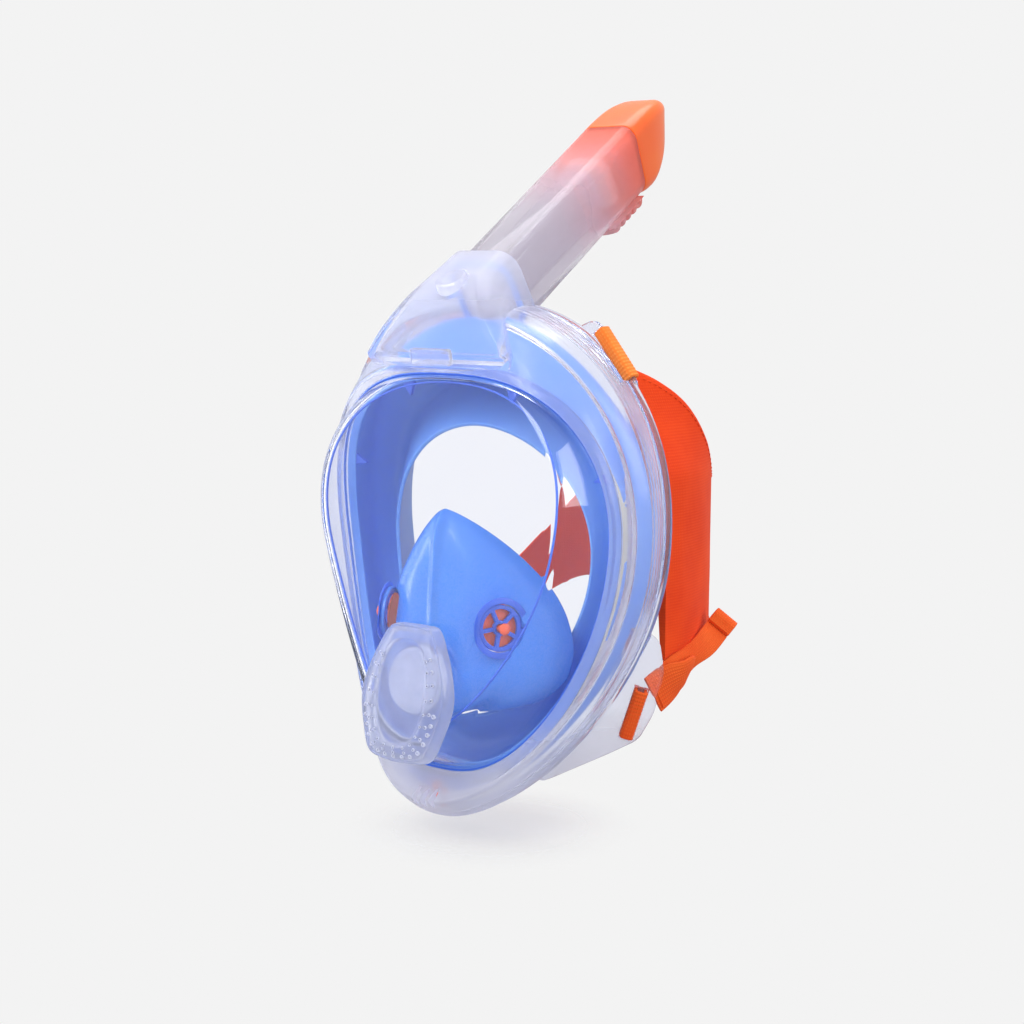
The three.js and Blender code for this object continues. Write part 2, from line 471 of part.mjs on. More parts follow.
// ---------- brow clip over the visor's top edge ----------
{
  const s = new THREE.Shape();
  s.moveTo(-9, -2.6); s.lineTo(9, -2.6); s.lineTo(9, 2.6); s.lineTo(-9, 2.6);
  const g = new THREE.ExtrudeGeometry(s, { depth: 1.6, bevelEnabled: true, bevelThickness: 0.5, bevelSize: 0.5, bevelSegments: 1 });
  const m = add("brow_clip", g, "clear");
  m.rotation.set(Math.PI / 2 + 0.2, 0, 0);
  m.position.set(0, -40.6, 75.5);
}

// ---------- strap ----------
// the band's path round the back of the head, seen from above
const path = new THREE.CatmullRomCurve3([
  V(67, 14.6, 0), V(67.6, 26, 0), V(64.3, 45, 0), V(56.8, 62, 0), V(44, 78, 0), V(22, 93, 0), V(-4, 99, 0),
  V(-30, 93.5, 0), V(-50, 79, 0), V(-62, 58, 0), V(-66, 35, 0), V(-64, 15, 0),
], false, "centripetal");
const lerpTable = (rows, x) => {
  for (let i = 1; i < rows.length; i++) if (x <= rows[i][0]) {
    const [x0, a0, b0] = rows[i - 1], [x1, a1, b1] = rows[i], t = (x - x0) / (x1 - x0);
    return [a0 + (a1 - a0) * t, b0 + (b1 - b0) * t];
  }
  return rows.at(-1).slice(1);
};
// share of the path, lower edge, upper edge
const BAND_MAIN = [
  [0, -40, 72.5], [0.03, -38, 69], [0.06, -37.5, 65], [0.1, -37, 57], [0.15, -36.5, 42.5], [0.2, -36, 30], [0.28, -35, 26],
  [0.4, -33, 26], [0.5, -29, 22], [0.6, -27, 12], [0.68, -36, -8], [0.75, -49, -24], [0.86, -62, -36], [0.93, -70, -46],
  [1, -72, -50],
];
const BAND_UPPER = [[0.36, -2, 22], [0.42, 2, 28], [0.5, 7, 37], [0.6, 14, 44], [0.7, 30, 58], [0.8, 46, 72], [0.9, 58, 80], [1, 64, 84]];
const LEAN_FROM = 30; // height from which the band's ends lean in towards the upper lugs
const LEAN = 0.5; // how far they lean in for each millimetre above it
function strapSheet(table, s0, s1, steps, half) {
  const row = (i, halfThick) => {
    const s = s0 + ((s1 - s0) * i) / steps, p = path.getPointAt(s), t = path.getTangentAt(s);
    const o = V(t.y, -t.x, 0).normalize(), [lo, hi] = lerpTable(table, s);
    const end = Math.max(0, 1 - Math.min(s, 1 - s) / 0.2), ease = end * end * (3 - 2 * end);
    const lean = (z) => -Math.sign(p.x) * Math.max(0, z - LEAN_FROM) * LEAN * ease;
    const mid = Math.min(Math.max(LEAN_FROM, lo + 1), hi - 1);
    return [[-1, lo], [1, lo], [1, mid], [1, hi], [-1, hi], [-1, mid]].map(([d, z]) =>
      V(p.x + lean(z) + o.x * d * halfThick, p.y + o.y * d * halfThick, z));
  };
  const rows = Array.from({ length: steps + 1 }, (_, i) => row(i, half));
  // each end is closed along its middle line
  return closed(new LoftGeometry([row(0, 0), ...rows, row(steps, 0)]));
}
add("headband", join(strapSheet(BAND_MAIN, 0.0, 1, 30, 1.1), strapSheet(BAND_UPPER, 0.36, 1, 20, 1.1)), "band");

// webbing loops: through the upper slots and round the rim's edge, and round the lower bars
const WEB_T = 1.2;
function loop(mid, out, back, along, o0, o1, d0, d1, width, t, sx) {
  const box = (grow) => [[o0 - grow, d0 - grow], [o1 + grow, d0 - grow], [o1 + grow, d1 + grow], [o0 - grow, d1 + grow]];
  const g = plate(box(t), box(0), width);
  g.translate(0, 0, -width / 2).applyMatrix4(new THREE.Matrix4().makeBasis(out, back, along)).translate(mid.x, mid.y, mid.z);
  return closed(mirrored(g, sx));
}
for (const [side, sx] of [["left", 1], ["right", -1]]) {
  add(`upper_webbing_${side}`, loop(V(SLOT_MID.x, 0, SLOT_MID.z), SLOT_OUT, V(0, 1, 0), SLOT_ALONG, 0.6, 3.4, 5.1, 8.3, 23, WEB_T, sx), "web");
  add(`lower_loop_${side}`, loop(BAR_MID, BAR_OUT, BAR_BACK, BAR_ALONG, -1.35, 1.35, -4.6, 1.1, 20, WEB_T, sx), "web");
}
// webbing ribbons from the lower slots back to the headband
function ribbon(points, width, t) {
  const c = new THREE.CatmullRomCurve3(points.map((p) => V(...p.slice(0, 3))), false, "centripetal");
  const rows = [];
  for (let i = 0; i <= 14; i++) {
    const k = i / 14, p = c.getPointAt(k), d = c.getTangentAt(k);
    const side = V(0, 0, 1).addScaledVector(d, -d.z).normalize(), o = d.clone().cross(side);
    rows.push([[-1, -1], [1, -1], [1, 1], [-1, 1]].map(([a, b]) =>
      p.clone().addScaledVector(side, (a * width) / 2).addScaledVector(o, (b * t) / 2)));
  }
  return capped(rows);
}
add("lower_webbing_left", ribbon(
  [[67.8, 17, -54.5], [70.2, 27, -47.5], [71.0, 38, -40.5], [70.6, 50, -34], [68.6, 61, -29]], 19, 1.6), "web");
add("lower_webbing_right", ribbon([[-66.5, 17, -57], [-69.4, 27, -57], [-69.4, 38, -54]], 19, 1.6), "web");

export default mask;
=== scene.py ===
"""Full-face snorkel mask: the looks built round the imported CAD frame.

Lengths are millimetres until a mesh is made; lights, camera and floor are in metres."""

import math

import bmesh
import bpy
import numpy as np
from mathutils import Matrix, Vector


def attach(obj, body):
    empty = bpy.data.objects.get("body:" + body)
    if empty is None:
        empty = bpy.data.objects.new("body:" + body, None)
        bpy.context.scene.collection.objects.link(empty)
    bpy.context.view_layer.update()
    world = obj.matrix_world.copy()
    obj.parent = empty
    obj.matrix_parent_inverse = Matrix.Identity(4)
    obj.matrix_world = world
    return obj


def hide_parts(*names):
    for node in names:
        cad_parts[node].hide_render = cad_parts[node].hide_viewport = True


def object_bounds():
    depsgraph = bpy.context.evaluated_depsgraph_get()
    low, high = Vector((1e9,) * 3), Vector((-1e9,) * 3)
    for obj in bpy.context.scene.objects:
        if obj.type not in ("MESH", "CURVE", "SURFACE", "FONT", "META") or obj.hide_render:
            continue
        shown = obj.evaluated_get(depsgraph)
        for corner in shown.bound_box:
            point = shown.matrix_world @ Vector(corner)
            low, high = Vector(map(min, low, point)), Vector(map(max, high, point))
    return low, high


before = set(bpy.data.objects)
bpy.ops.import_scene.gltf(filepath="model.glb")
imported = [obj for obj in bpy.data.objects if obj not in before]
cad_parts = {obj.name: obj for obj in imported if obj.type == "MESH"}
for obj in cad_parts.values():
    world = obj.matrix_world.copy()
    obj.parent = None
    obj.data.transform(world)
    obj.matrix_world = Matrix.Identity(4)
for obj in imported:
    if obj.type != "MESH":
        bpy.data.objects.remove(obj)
cad_low, cad_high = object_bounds()

MM = 0.001
TAU = 2 * math.pi

# ---------------------------------------------------------------- driving dimensions
# They are the CAD's, but for the band rail, which stands fuller here. A rail's row is its half width,
# reach above and below the centre height, depth (y) at the sides, top and bottom,
# how much the curve narrows downwards, its squareness, and its squareness below the centre where that differs
RAIL_KEYS = ("w", "top", "bot", "zc", "ys", "yt", "yb", "egg", "p", "q")
RAIL = {
    name: dict(zip(RAIL_KEYS, row))
    for name, row in {
        "crease": (55.2, 66.7, 69.0, 1.2, -41.7, -33.3, -56.0, 0.34, 0.92),
        "glass": (63.5, 67.8, 81.2, 0.3, -16.1, -31.4, -36.6, 0.16, 0.74),
        "crown": (69.4, 91.0, 93.0, 0.0, -8.5, -28.0, -47.0, 0.15, 0.93),
        "band": (67.0, 89.5, 93.0, 0.5, -0.5, -14.0, -31.0, 0.14, 1.0),
        "rim": (73.3, 96.4, 99.4, -1.2, 3.3, -1.2, -36.0, 0.16, 1.0),
        "back": (64.5, 75.0, 80.0, 0.0, 16.0, 5.5, -9.0, 0.12, 1.0),
        "lip": (46.5, 50.1, 60.3, -2.7, -5.2, -12.5, -21.5, 0.09, 1.05),
        "pocket_edge": (42.0, 43.0, 33.5, -25.0, -11.0, -32.0, -24.0, -0.32, 1.4, 0.65),
        "pocket_wall": (28.5, 36.0, 31.0, -27.0, -33.0, -37.0, -35.5, -0.26, 1.2, 0.85),
    }.items()
}
LENS_T = 2.2
SHELL_T = 2.3
LENS_CROWN_Y = -46.0
TUBE_W, TUBE_H, TUBE_R, TUBE_WALL = 27.5, 28.5, 6.5, 1.7
TUBE_LEAN = math.radians(57)
ROOT = np.array((0, -5.6, 98.0))
TUBE_START, TUBE_END_FRONT, TUBE_END_REAR = -1.0, 100.0, 94.4
SOCKET_GAP = 0.4
PORT_AT, PORT_TILT, PORT_R = np.array((0, -50.8, -45.0)), math.radians(11.7), 13.0
INHALE_X, INHALE_Y, INHALE_Z, INHALE_AZIMUTH, INHALE_R = 27.6, -34.4, -24.5, math.radians(66), 8.8
DRAIN_Y, DRAIN_Z, DRAIN_R = -39.7, -91.6, 5.0

ALONG = np.array((0, math.sin(TUBE_LEAN), math.cos(TUBE_LEAN)))  # along the snorkel, up and back
FACE = np.array((0, -math.cos(TUBE_LEAN), math.sin(TUBE_LEAN)))  # to the snorkel's front face
PORT_AXIS = np.array((0, -math.cos(PORT_TILT), math.sin(PORT_TILT)))
PORT_UP = np.array((0, math.sin(PORT_TILT), math.cos(PORT_TILT)))

AROUND = 256  # points round the face


# ---------------------------------------------------------------- curves
def spread_angles(n=AROUND):
    """Angles round a rail, closer together at its top and bottom, where it runs fastest."""
    t = np.arange(n) / n * TAU
    return t - 0.3 * np.sin(2 * t)


def rail_point(r, a):
    s, c = np.sin(a), np.cos(a)
    square = np.where(c < 0, r.get("q", r["p"]), r["p"])
    x = r["w"] * np.sign(s) * np.abs(s) ** square * (1 + r["egg"] * c)
    y = r["ys"] + np.where(c > 0, r["yt"] - r["ys"], r["yb"] - r["ys"]) * c * c
    z = r["zc"] + np.where(c > 0, r["top"], r["bot"]) * c
    return np.stack([x, y, z], -1)


def pushed(curve, a, out, back):
    """The curve's points moved outwards in the XZ plane and back in Y."""
    p, d = curve(a), curve(a + 0.01) - curve(a - 0.01)
    length = np.maximum(np.hypot(d[..., 0], d[..., 2]), 1e-9)
    return p + np.stack([-d[..., 2] / length * out, np.full_like(length, back), d[..., 0] / length * out], -1)


def edge(name, out=0.0, back=0.0):
    return lambda a: pushed(lambda q: rail_point(RAIL[name], q), a, out, back)


def between(f, g, t, out=0.0, back=0.0):
    return lambda a: pushed(lambda q: f(q) * (1 - t) + g(q) * t, a, out, back)


def unit(v):
    v = np.asarray(v, float)
    return v / np.linalg.norm(v)


def rounded(points, radii, steps=5, loop=True):
    """Corner curves (k, n, 3) with each corner turned into a soft bend of about its radius."""
    pts, rows = np.asarray(points, float), []
    k = len(pts)
    for i in range(k):
        p = pts[i]
        if not loop and i in (0, k - 1):
            rows.append(p)
            continue
        a, b = pts[i - 1], pts[(i + 1) % k]
        la = np.linalg.norm(a - p, axis=-1, keepdims=True) + 1e-9
        lb = np.linalg.norm(b - p, axis=-1, keepdims=True) + 1e-9
        start = p + (a - p) * np.minimum(radii[i], 0.47 * la) / la
        end = p + (b - p) * np.minimum(radii[i], 0.47 * lb) / lb
        for t in np.linspace(0, 1, steps + 1):
            rows.append((1 - t) ** 2 * start + 2 * t * (1 - t) * p + t * t * end)
    return np.stack(rows)


def soft_line(corners, radii, steps, loop=True):
    """A flat line through corners (k, 2), each one softened."""
    return rounded(np.array(corners, float)[:, None], radii, steps, loop)[:, 0]


def lengths(line):
    """The length along a line up to each of its points."""
    return np.concatenate([[0], np.cumsum(np.linalg.norm(np.diff(line, axis=0), axis=1))])


def sample(at, stops, values):
    """The rows of values, read at other lengths than their own stops."""
    return np.stack([np.interp(at, stops, column) for column in np.asarray(values).T], -1)


# ---------------------------------------------------------------- meshes
def linked(name, data):
    obj = bpy.data.objects.new(name, data)
    bpy.context.scene.collection.objects.link(obj)
    return obj


def final_mesh(obj):
    """The object's mesh with its modifiers or its curve's bevel applied."""
    bpy.context.view_layer.update()
    return bpy.data.meshes.new_from_object(obj.evaluated_get(bpy.context.evaluated_depsgraph_get()))


def tidy(obj, sharp_deg=38.0):
    """Merges doubles, turns faces outwards, and shades smooth between sharp edges."""
    bm = bmesh.new()
    bm.from_mesh(obj.data)
    bmesh.ops.remove_doubles(bm, verts=bm.verts, dist=2e-6)
    bmesh.ops.recalc_face_normals(bm, faces=bm.faces)
    bm.to_mesh(obj.data)
    bm.free()
    obj.data.shade_smooth()
    obj.data.set_sharp_from_angle(angle=math.radians(sharp_deg))
    return obj


def mesh_object(name, verts, faces, sharp_deg=38.0, attributes=None):
    mesh = bpy.data.meshes.new(name)
    mesh.from_pydata((np.asarray(verts, float) * MM).tolist(), [], faces)
    for key, values in (attributes or {}).items():
        layer = mesh.attributes.new(key, "FLOAT", "POINT")
        layer.data.foreach_set("value", np.asarray(values, np.float32))
    return tidy(linked(name, mesh), sharp_deg)


def grid_faces(m, n, close_m, close_n):
    faces = []
    for i in range(m if close_m else m - 1):
        for j in range(n if close_n else n - 1):
            i1, j1 = (i + 1) % m, (j + 1) % n
            faces.append((i * n + j, i * n + j1, i1 * n + j1, i1 * n + j))
    return faces


def hoop(name, curves, radii, n=AROUND, steps=5, sharp_deg=38.0):
    """A closed ring: corner curves round the face, each corner softened."""
    a = spread_angles(n)
    rows = rounded([c(a) for c in curves], radii, steps)
    return mesh_object(name, rows.reshape(-1, 3), grid_faces(len(rows), n, True, True), sharp_deg)


def lofted(name, rows, ring=False, sharp_deg=38.0, attributes=None):
    """Rings (m, n, 3) skinned in order: closed back to the first one, or with both ends filled."""
    rows = np.asarray(rows, float)
    m, n = rows.shape[:2]
    faces = grid_faces(m, n, ring, True)
    verts = rows.reshape(-1, 3)
    if not ring:
        verts = np.concatenate([verts, rows[0].mean(0)[None], rows[-1].mean(0)[None]])
        first, last = m * n, m * n + 1
        faces += [(first, (j + 1) % n, j) for j in range(n)]
        faces += [(last, (m - 1) * n + j, (m - 1) * n + (j + 1) % n) for j in range(n)]
    return mesh_object(name, verts, faces, sharp_deg, attributes)


def on_axis(pos, axis):
    """A matrix whose +Y points along the axis, at pos."""
    turn = Vector((0, 1, 0)).rotation_difference(Vector(unit(axis))).to_matrix().to_4x4()
    return Matrix.Translation(Vector(pos)) @ turn


def moved(points, matrix):
    m = np.array(matrix)
    return np.asarray(points, float) @ m[:3, :3].T + m[:3, 3]


def lathe(name, profile, matrix, radius=0.3, n=72, sharp_deg=40.0):
    """A profile of (r, y) from axis to axis, turned about the local +Y, with softened corners."""
    soft = soft_line(profile, [radius] * len(profile), 4, loop=False)
    a = np.arange(n) / n * TAU
    rows = np.stack([np.stack([r * np.sin(a), np.full(n, y), r * np.cos(a)], -1) for r, y in soft])
    return lofted(name, moved(rows.reshape(-1, 3), matrix).reshape(rows.shape), sharp_deg=sharp_deg)


def rod(r, low, high, matrix, n=72):
    return lathe("rod", [(0, low), (r, low), (r, high), (0, high)], matrix, 0.01, n)


def settle(obj):
    mesh = final_mesh(obj)
    obj.modifiers.clear()
    obj.data = mesh


def carve(obj, tools, operation="DIFFERENCE", sharp_deg=38.0, then_cut=()):
    """Joins or cuts the tools, and then cuts the others, in one stack that keeps the mesh watertight."""
    stack = [(tool, operation) for tool in tools] + [(tool, "DIFFERENCE") for tool in then_cut]
    for tool, kind in stack:
        m = obj.modifiers.new("carve", "BOOLEAN")
        m.object, m.operation, m.solver = tool, kind, "MANIFOLD"
    settle(obj)
    for tool, _ in stack:
        bpy.data.objects.remove(tool)
    return tidy(obj, sharp_deg)


def join(name, objects):
    bm = bmesh.new()
    for o in objects:
        bm.from_mesh(o.data)
        bpy.data.objects.remove(o)
    mesh = bpy.data.meshes.new(name)
    bm.to_mesh(mesh)
    bm.free()
    return tidy(linked(name, mesh))


def outline_solid(name, outer, holes, thickness, matrix, bevel=0.2):
    """A flat plate of the given outline and holes in the local XZ plane, y from 0 down, edges rounded."""
    curve = bpy.data.curves.new(name, "CURVE")
    curve.dimensions, curve.fill_mode = "2D", "BOTH"
    curve.extrude = (thickness / 2 - bevel) * MM
    curve.bevel_depth, curve.bevel_resolution, curve.offset = bevel * MM, 2, -bevel * MM
    for points in [outer, *holes]:
        spline = curve.splines.new("POLY")
        spline.points.add(len(points) - 1)
        for q, (x, z) in zip(spline.points, points):
            q.co = (x * MM, z * MM, 0, 1)
        spline.use_cyclic_u = True
    flat = linked(name, curve)
    mesh = final_mesh(flat)
    bpy.data.objects.remove(flat)
    lay = Matrix(((1, 0, 0, 0), (0, 0, 1, -thickness / 2 * MM), (0, -1, 0, 0), (0, 0, 0, 1)))
    place = matrix.copy()
    place.translation *= MM
    mesh.transform(place @ lay)
    return tidy(linked(name, mesh), 35)


def put(obj, body, kind, *nodes):
    """Gives the object its material, ties it to its body, and hides the CAD nodes that it replaces."""
    material, slot = MAT[kind]
    obj.data.materials.clear()
    obj.data.materials.append(material)
    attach(obj, body)
    if nodes:
        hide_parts(*nodes)


# ---------------------------------------------------------------- materials
def node(nt, kind, values=None, **settings):
    n = nt.nodes.new(kind)
    for key, value in settings.items():
        setattr(n, key, value)
    for key, value in (values or {}).items():
        if isinstance(value, bpy.types.NodeSocket):
            nt.links.new(value, n.inputs[key])
        else:
            n.inputs[key].default_value = value
    return n


def fresh(name):
    mat = bpy.data.materials.new(name)
    mat.use_nodes = True
    mat.node_tree.nodes.clear()
    return mat, mat.node_tree, node(mat.node_tree, "ShaderNodeOutputMaterial")


def maths(nt, operation, *values):
    return node(nt, "ShaderNodeMath", dict(enumerate(values)), operation=operation).outputs[0]


def mixed(nt, share, first, second):
    return node(nt, "ShaderNodeMixShader", {0: share, 1: first, 2: second}).outputs[0]


def object_point(nt):
    return node(nt, "ShaderNodeTexCoord").outputs["Object"]


def noise(nt, scale, detail=3.0, rough=0.5):
    where = object_point(nt)
    return node(nt, "ShaderNodeTexNoise", {"Vector": where, "Scale": scale, "Detail": detail,
                                           "Roughness": rough})


def remap(nt, value, low, high, from_low=0.3, from_high=0.7):
    return node(nt, "ShaderNodeMapRange", {
        "Value": value, "From Min": from_low, "From Max": from_high, "To Min": low,
        "To Max": high}).outputs["Result"]


def ramp(nt, value, stops):
    n = node(nt, "ShaderNodeValToRGB", {"Fac": value})
    while len(n.color_ramp.elements) < len(stops):
        n.color_ramp.elements.new(0.5)
    for e, (at, colour) in zip(n.color_ramp.elements, stops):
        e.position, e.color = at, (*colour, 1)
    return n.outputs["Color"]


def grey(stops):
    return [(at, (value,) * 3) for at, value in stops]


def bump(nt, height, strength, distance_mm, normal=None):
    values = {"Height": height, "Strength": strength, "Distance": distance_mm * MM}
    if normal is not None:
        values["Normal"] = normal
    return node(nt, "ShaderNodeBump", values).outputs["Normal"]


def srgb(text):
    channels = [int(text[i:i + 2], 16) / 255 for i in (0, 2, 4)]
    return tuple(c / 12.92 if c <= 0.04045 else ((c + 0.055) / 1.055) ** 2.4 for c in channels)


def along_snorkel(nt, low, high):
    """0 to 1 between two lengths along the snorkel's axis, from its root, in millimetres."""
    from_root = node(nt, "ShaderNodeVectorMath", {0: object_point(nt), 1: tuple(ROOT * MM)},
                     operation="SUBTRACT")
    length = node(nt, "ShaderNodeVectorMath", {0: from_root.outputs["Vector"], 1: tuple(ALONG)},
                  operation="DOT_PRODUCT").outputs["Value"]
    return remap(nt, length, 0, 1, low * MM, high * MM)


def clear_plastic(name, tint, rough, haze=0.0, haze_tint="e6e8fa", wave=0.15, ior=1.49, glow=False,
                  milky=False, rim=None):
    """Moulded transparent plastic. haze is the share of milky scatter, wave is the flow marks' strength,
    glow takes in the orange light of the snorkel's cap towards that end, and milky thickens the haze in the
    hood and at the chin. rim is a painted edge colour that the body turns to where the plastic is seen edge
    on: partly the tint of its thickness, partly a painted reflection of the blue silicone behind it."""
    mat, nt, out = fresh(name)
    flow = noise(nt, 26.0, 2.0)
    fine = noise(nt, 900.0, 2.0)
    normal = bump(nt, flow.outputs["Fac"], wave, 0.6)
    roughness = remap(nt, fine.outputs["Fac"], rough * 0.75, rough * 1.3)
    body = (*srgb(tint), 1)
    # painted edge: where the plastic is seen edge on its colour turns to rim, a painted reflection of the
    # blue silicone added to the plastic's own tint
    if rim:
        painted_edge_share = node(nt, "ShaderNodeLayerWeight", {"Blend": 0.5}).outputs["Facing"]
        body = ramp(nt, painted_edge_share, [(0.0, srgb(tint)), (0.68, srgb(tint)), (0.93, srgb(rim))])
    glass = node(nt, "ShaderNodeBsdfPrincipled", {
        "Base Color": body, "Roughness": roughness, "IOR": ior, "Transmission Weight": 1.0, "Normal": normal})
    surface = glass.outputs[0]
    if haze:
        cloud = remap(nt, noise(nt, 60.0, 4.0).outputs["Fac"], haze * 0.85, haze * 1.15)
        colour = (*srgb(haze_tint), 1)
        if milky:
            height = node(nt, "ShaderNodeSeparateXYZ", {0: object_point(nt)}).outputs["Z"]
            more = ramp(nt, remap(nt, height, 0, 1, -0.1, 0.115),
                        grey([(0.0, 0.48), (0.1, 0.4), (0.2, 0), (0.88, 0), (0.95, 0.36)]))
            cloud = maths(nt, "ADD", cloud, more)
        if glow:
            share = along_snorkel(nt, 40, 100)
            stops = (0.0, haze_tint), (0.4, "dfc0ca"), (0.75, "ef9f9a"), (1.0, "f28a74")
            colour = ramp(nt, share, [(at, srgb(text)) for at, text in stops])
            cloud = maths(nt, "MULTIPLY_ADD", share, 0.3, cloud)
        lit = [node(nt, kind, {"Color": colour, "Normal": normal}).outputs[0]
               for kind in ("ShaderNodeBsdfDiffuse", "ShaderNodeBsdfTranslucent")]
        surface = mixed(nt, cloud, surface, mixed(nt, 0.5, *lit))
    through = tuple(c ** 0.5 * (1 - 0.6 * haze) for c in srgb(tint))
    shade = node(nt, "ShaderNodeBsdfTransparent", {"Color": (*through, 1)})
    shadow = node(nt, "ShaderNodeLightPath").outputs["Is Shadow Ray"]
    nt.links.new(mixed(nt, shadow, surface, shade.outputs[0]), out.inputs["Surface"])
    return mat


def silicone(name, dark, light, rough=0.42, scatter=0.25, grain=0.06, coat=0.08):
    mat, nt, out = fresh(name)
    cloud = noise(nt, 22.0, 3.0)
    fine = noise(nt, 1500.0, 3.0)
    colour = ramp(nt, cloud.outputs["Fac"], [(0.25, srgb(dark)), (0.8, srgb(light))])
    body = node(nt, "ShaderNodeBsdfPrincipled", {
        "Base Color": colour, "Roughness": remap(nt, fine.outputs["Fac"], rough * 0.85, rough * 1.15),
        "Subsurface Weight": scatter, "Subsurface Radius": (0.004, 0.006, 0.012), "Subsurface Scale": 0.6,
        "Specular IOR Level": 0.42, "Coat Weight": coat, "Coat Roughness": 0.12,
        "Normal": bump(nt, fine.outputs["Fac"], grain, 0.05)})
    nt.links.new(body.outputs[0], out.inputs["Surface"])
    return mat


def moulded(name, dark, light, rough=0.35, coat=0.2, scatter=0.1, fade=False):
    """Moulded plastic; fade thins it out towards the snorkel's foot."""
    mat, nt, out = fresh(name)
    cloud = noise(nt, 30.0, 2.0)
    fine = noise(nt, 2200.0, 2.0)
    colour = ramp(nt, cloud.outputs["Fac"], [(0.2, srgb(dark)), (0.8, srgb(light))])
    body = node(nt, "ShaderNodeBsdfPrincipled", {
        "Base Color": colour, "Roughness": remap(nt, fine.outputs["Fac"], rough * 0.85, rough * 1.2),
        "Subsurface Weight": scatter, "Subsurface Radius": (0.006, 0.003, 0.001), "Subsurface Scale": 0.5,
        "Coat Weight": coat, "Coat Roughness": 0.15, "Normal": bump(nt, fine.outputs["Fac"], 0.08, 0.04)})
    if fade:
        share = ramp(nt, along_snorkel(nt, 70, 99), grey([(0.0, 0.1), (0.4, 0.3), (1.0, 0.85)]))
        nt.links.new(share, body.inputs["Alpha"])
    nt.links.new(body.outputs[0], out.inputs["Surface"])
    return mat


def attribute(nt, name):
    return node(nt, "ShaderNodeAttribute", attribute_name=name).outputs["Fac"]


def sine(nt, value, pitch_mm):
    """A wave from 0 to 1 of the given pitch along a length in millimetres."""
    wave = maths(nt, "SINE", maths(nt, "MULTIPLY", value, TAU / pitch_mm))
    return maths(nt, "MULTIPLY_ADD", wave, 0.5, 0.5)


def cloth(name, dark, light, warp_mm, weft_mm, rough=0.85, sheen=0.35, depth_mm=0.12, strength=0.5):
    """Woven cloth: the threads follow the piece's own lengths u and v, held by its mesh in millimetres."""
    mat, nt, out = fresh(name)
    u, v = attribute(nt, "u_mm"), attribute(nt, "v_mm")
    warp, weft = sine(nt, u, warp_mm), sine(nt, v, weft_mm)
    weave = maths(nt, "MULTIPLY", warp, weft)
    cloud = noise(nt, 45.0, 4.0).outputs["Fac"]
    fuzz = noise(nt, 2600.0, 2.0).outputs["Fac"]
    tone = maths(nt, "MULTIPLY_ADD", weave, 0.35, cloud)
    colour = ramp(nt, tone, [(0.3, srgb(dark)), (0.95, srgb(light))])
    height = maths(nt, "MULTIPLY_ADD", fuzz, 0.5, weave)
    body = node(nt, "ShaderNodeBsdfPrincipled", {
        "Base Color": colour, "Roughness": remap(nt, fuzz, rough * 0.9, min(1.0, rough * 1.1)),
        "Sheen Weight": sheen, "Sheen Roughness": 0.45, "Sheen Tint": (1.0, 0.62, 0.45, 1),
        "Specular IOR Level": 0.25, "Normal": bump(nt, height, strength, depth_mm)})
    nt.links.new(body.outputs[0], out.inputs["Surface"])
    return mat


MAT = {  # name: material, slot
    # the lens and the clear rim plastic carry a painted blue edge (rim=), a painted reflection of the
    # silicone
    "lens": (clear_plastic("lens_polycarbonate", "f9faff", 0.012, 0.03, "b4c6f6", wave=0.02, ior=1.45,
                           rim="5576dd"), "lens"),
    "clear": (clear_plastic("clear_rim_plastic", "e9ecf8", 0.15, 0.12, "dfdee6", wave=0.06, ior=1.36,
                            milky=True, rim="b9c9f4"), "clear_plastic"),
    "frosted": (clear_plastic("frosted_plastic", "e4e8f5", 0.12, 0.38, "ced2e6", wave=0.03, ior=1.34),
                "clear_plastic"),
    "dots": (clear_plastic("cover_dot_plastic", "f2f3fa", 0.1, 0.62, "eff0f8", wave=0.0, ior=1.4),
             "clear_plastic"),
    "tube": (clear_plastic("snorkel_plastic", "ebe9ee", 0.05, 0.24, "cfcbd2", wave=0.1, ior=1.38, glow=True),
             "clear_plastic"),
    "guard": (clear_plastic("outlet_plastic", "f0e9ee", 0.10, 0.34, "d6cdda", wave=0.1, ior=1.4, glow=True),
              "clear_plastic"),
    "blue": (silicone("blue_silicone", "5990e3", "78a9ec"), "blue_silicone"),
    "blue_soft": (silicone("blue_pocket_silicone", "3a7fdf", "4e8ee4", rough=0.28, scatter=0.2, coat=0.4),
                  "blue_silicone"),
    "blue_deep": (silicone("deep_blue_silicone", "3360d6", "4474e4", rough=0.34, scatter=0.15),
                  "blue_silicone"),
    "orange_soft": (silicone("orange_silicone", "fb5f26", "ff7a3c", rough=0.45, scatter=0.2),
                    "orange_silicone"),
    "white_soft": (silicone("white_silicone", "e6e8f2", "f4f5fb", rough=0.45, scatter=0.2), "white_silicone"),
    "white": (moulded("white_plastic", "e8eaf2", "f6f7fb", 0.4, 0.1), "white_plastic"),
    "orange": (moulded("orange_plastic", "f65a04", "ff7a14", 0.34, 0.25, 0.3), "orange_plastic"),
    "chamber": (moulded("chamber_plastic", "ff8458", "ff9a6c", 0.4, 0.1, 0.2, fade=True), "orange_plastic"),
    "band": (cloth("headband_fabric", "e23604", "fa4e0e", 1.1, 1.1, sheen=0.12, depth_mm=0.1),
             "headband_fabric"),
    "web": (cloth("elastic_webbing", "ff7420", "ffa04a", 0.9, 1.5, rough=0.8, sheen=0.15, depth_mm=0.18,
                  strength=0.7), "webbing"),
    "strap": (cloth("strap_webbing", "e84a12", "fb6e28", 0.9, 1.5, rough=0.8, sheen=0.15, depth_mm=0.18,
                    strength=0.7), "webbing"),
    "thread": (cloth("sewing_thread", "da3a0c", "f4581e", 0.5, 0.5, rough=0.7, sheen=0.1, depth_mm=0.05),
               "headband_fabric"),
}


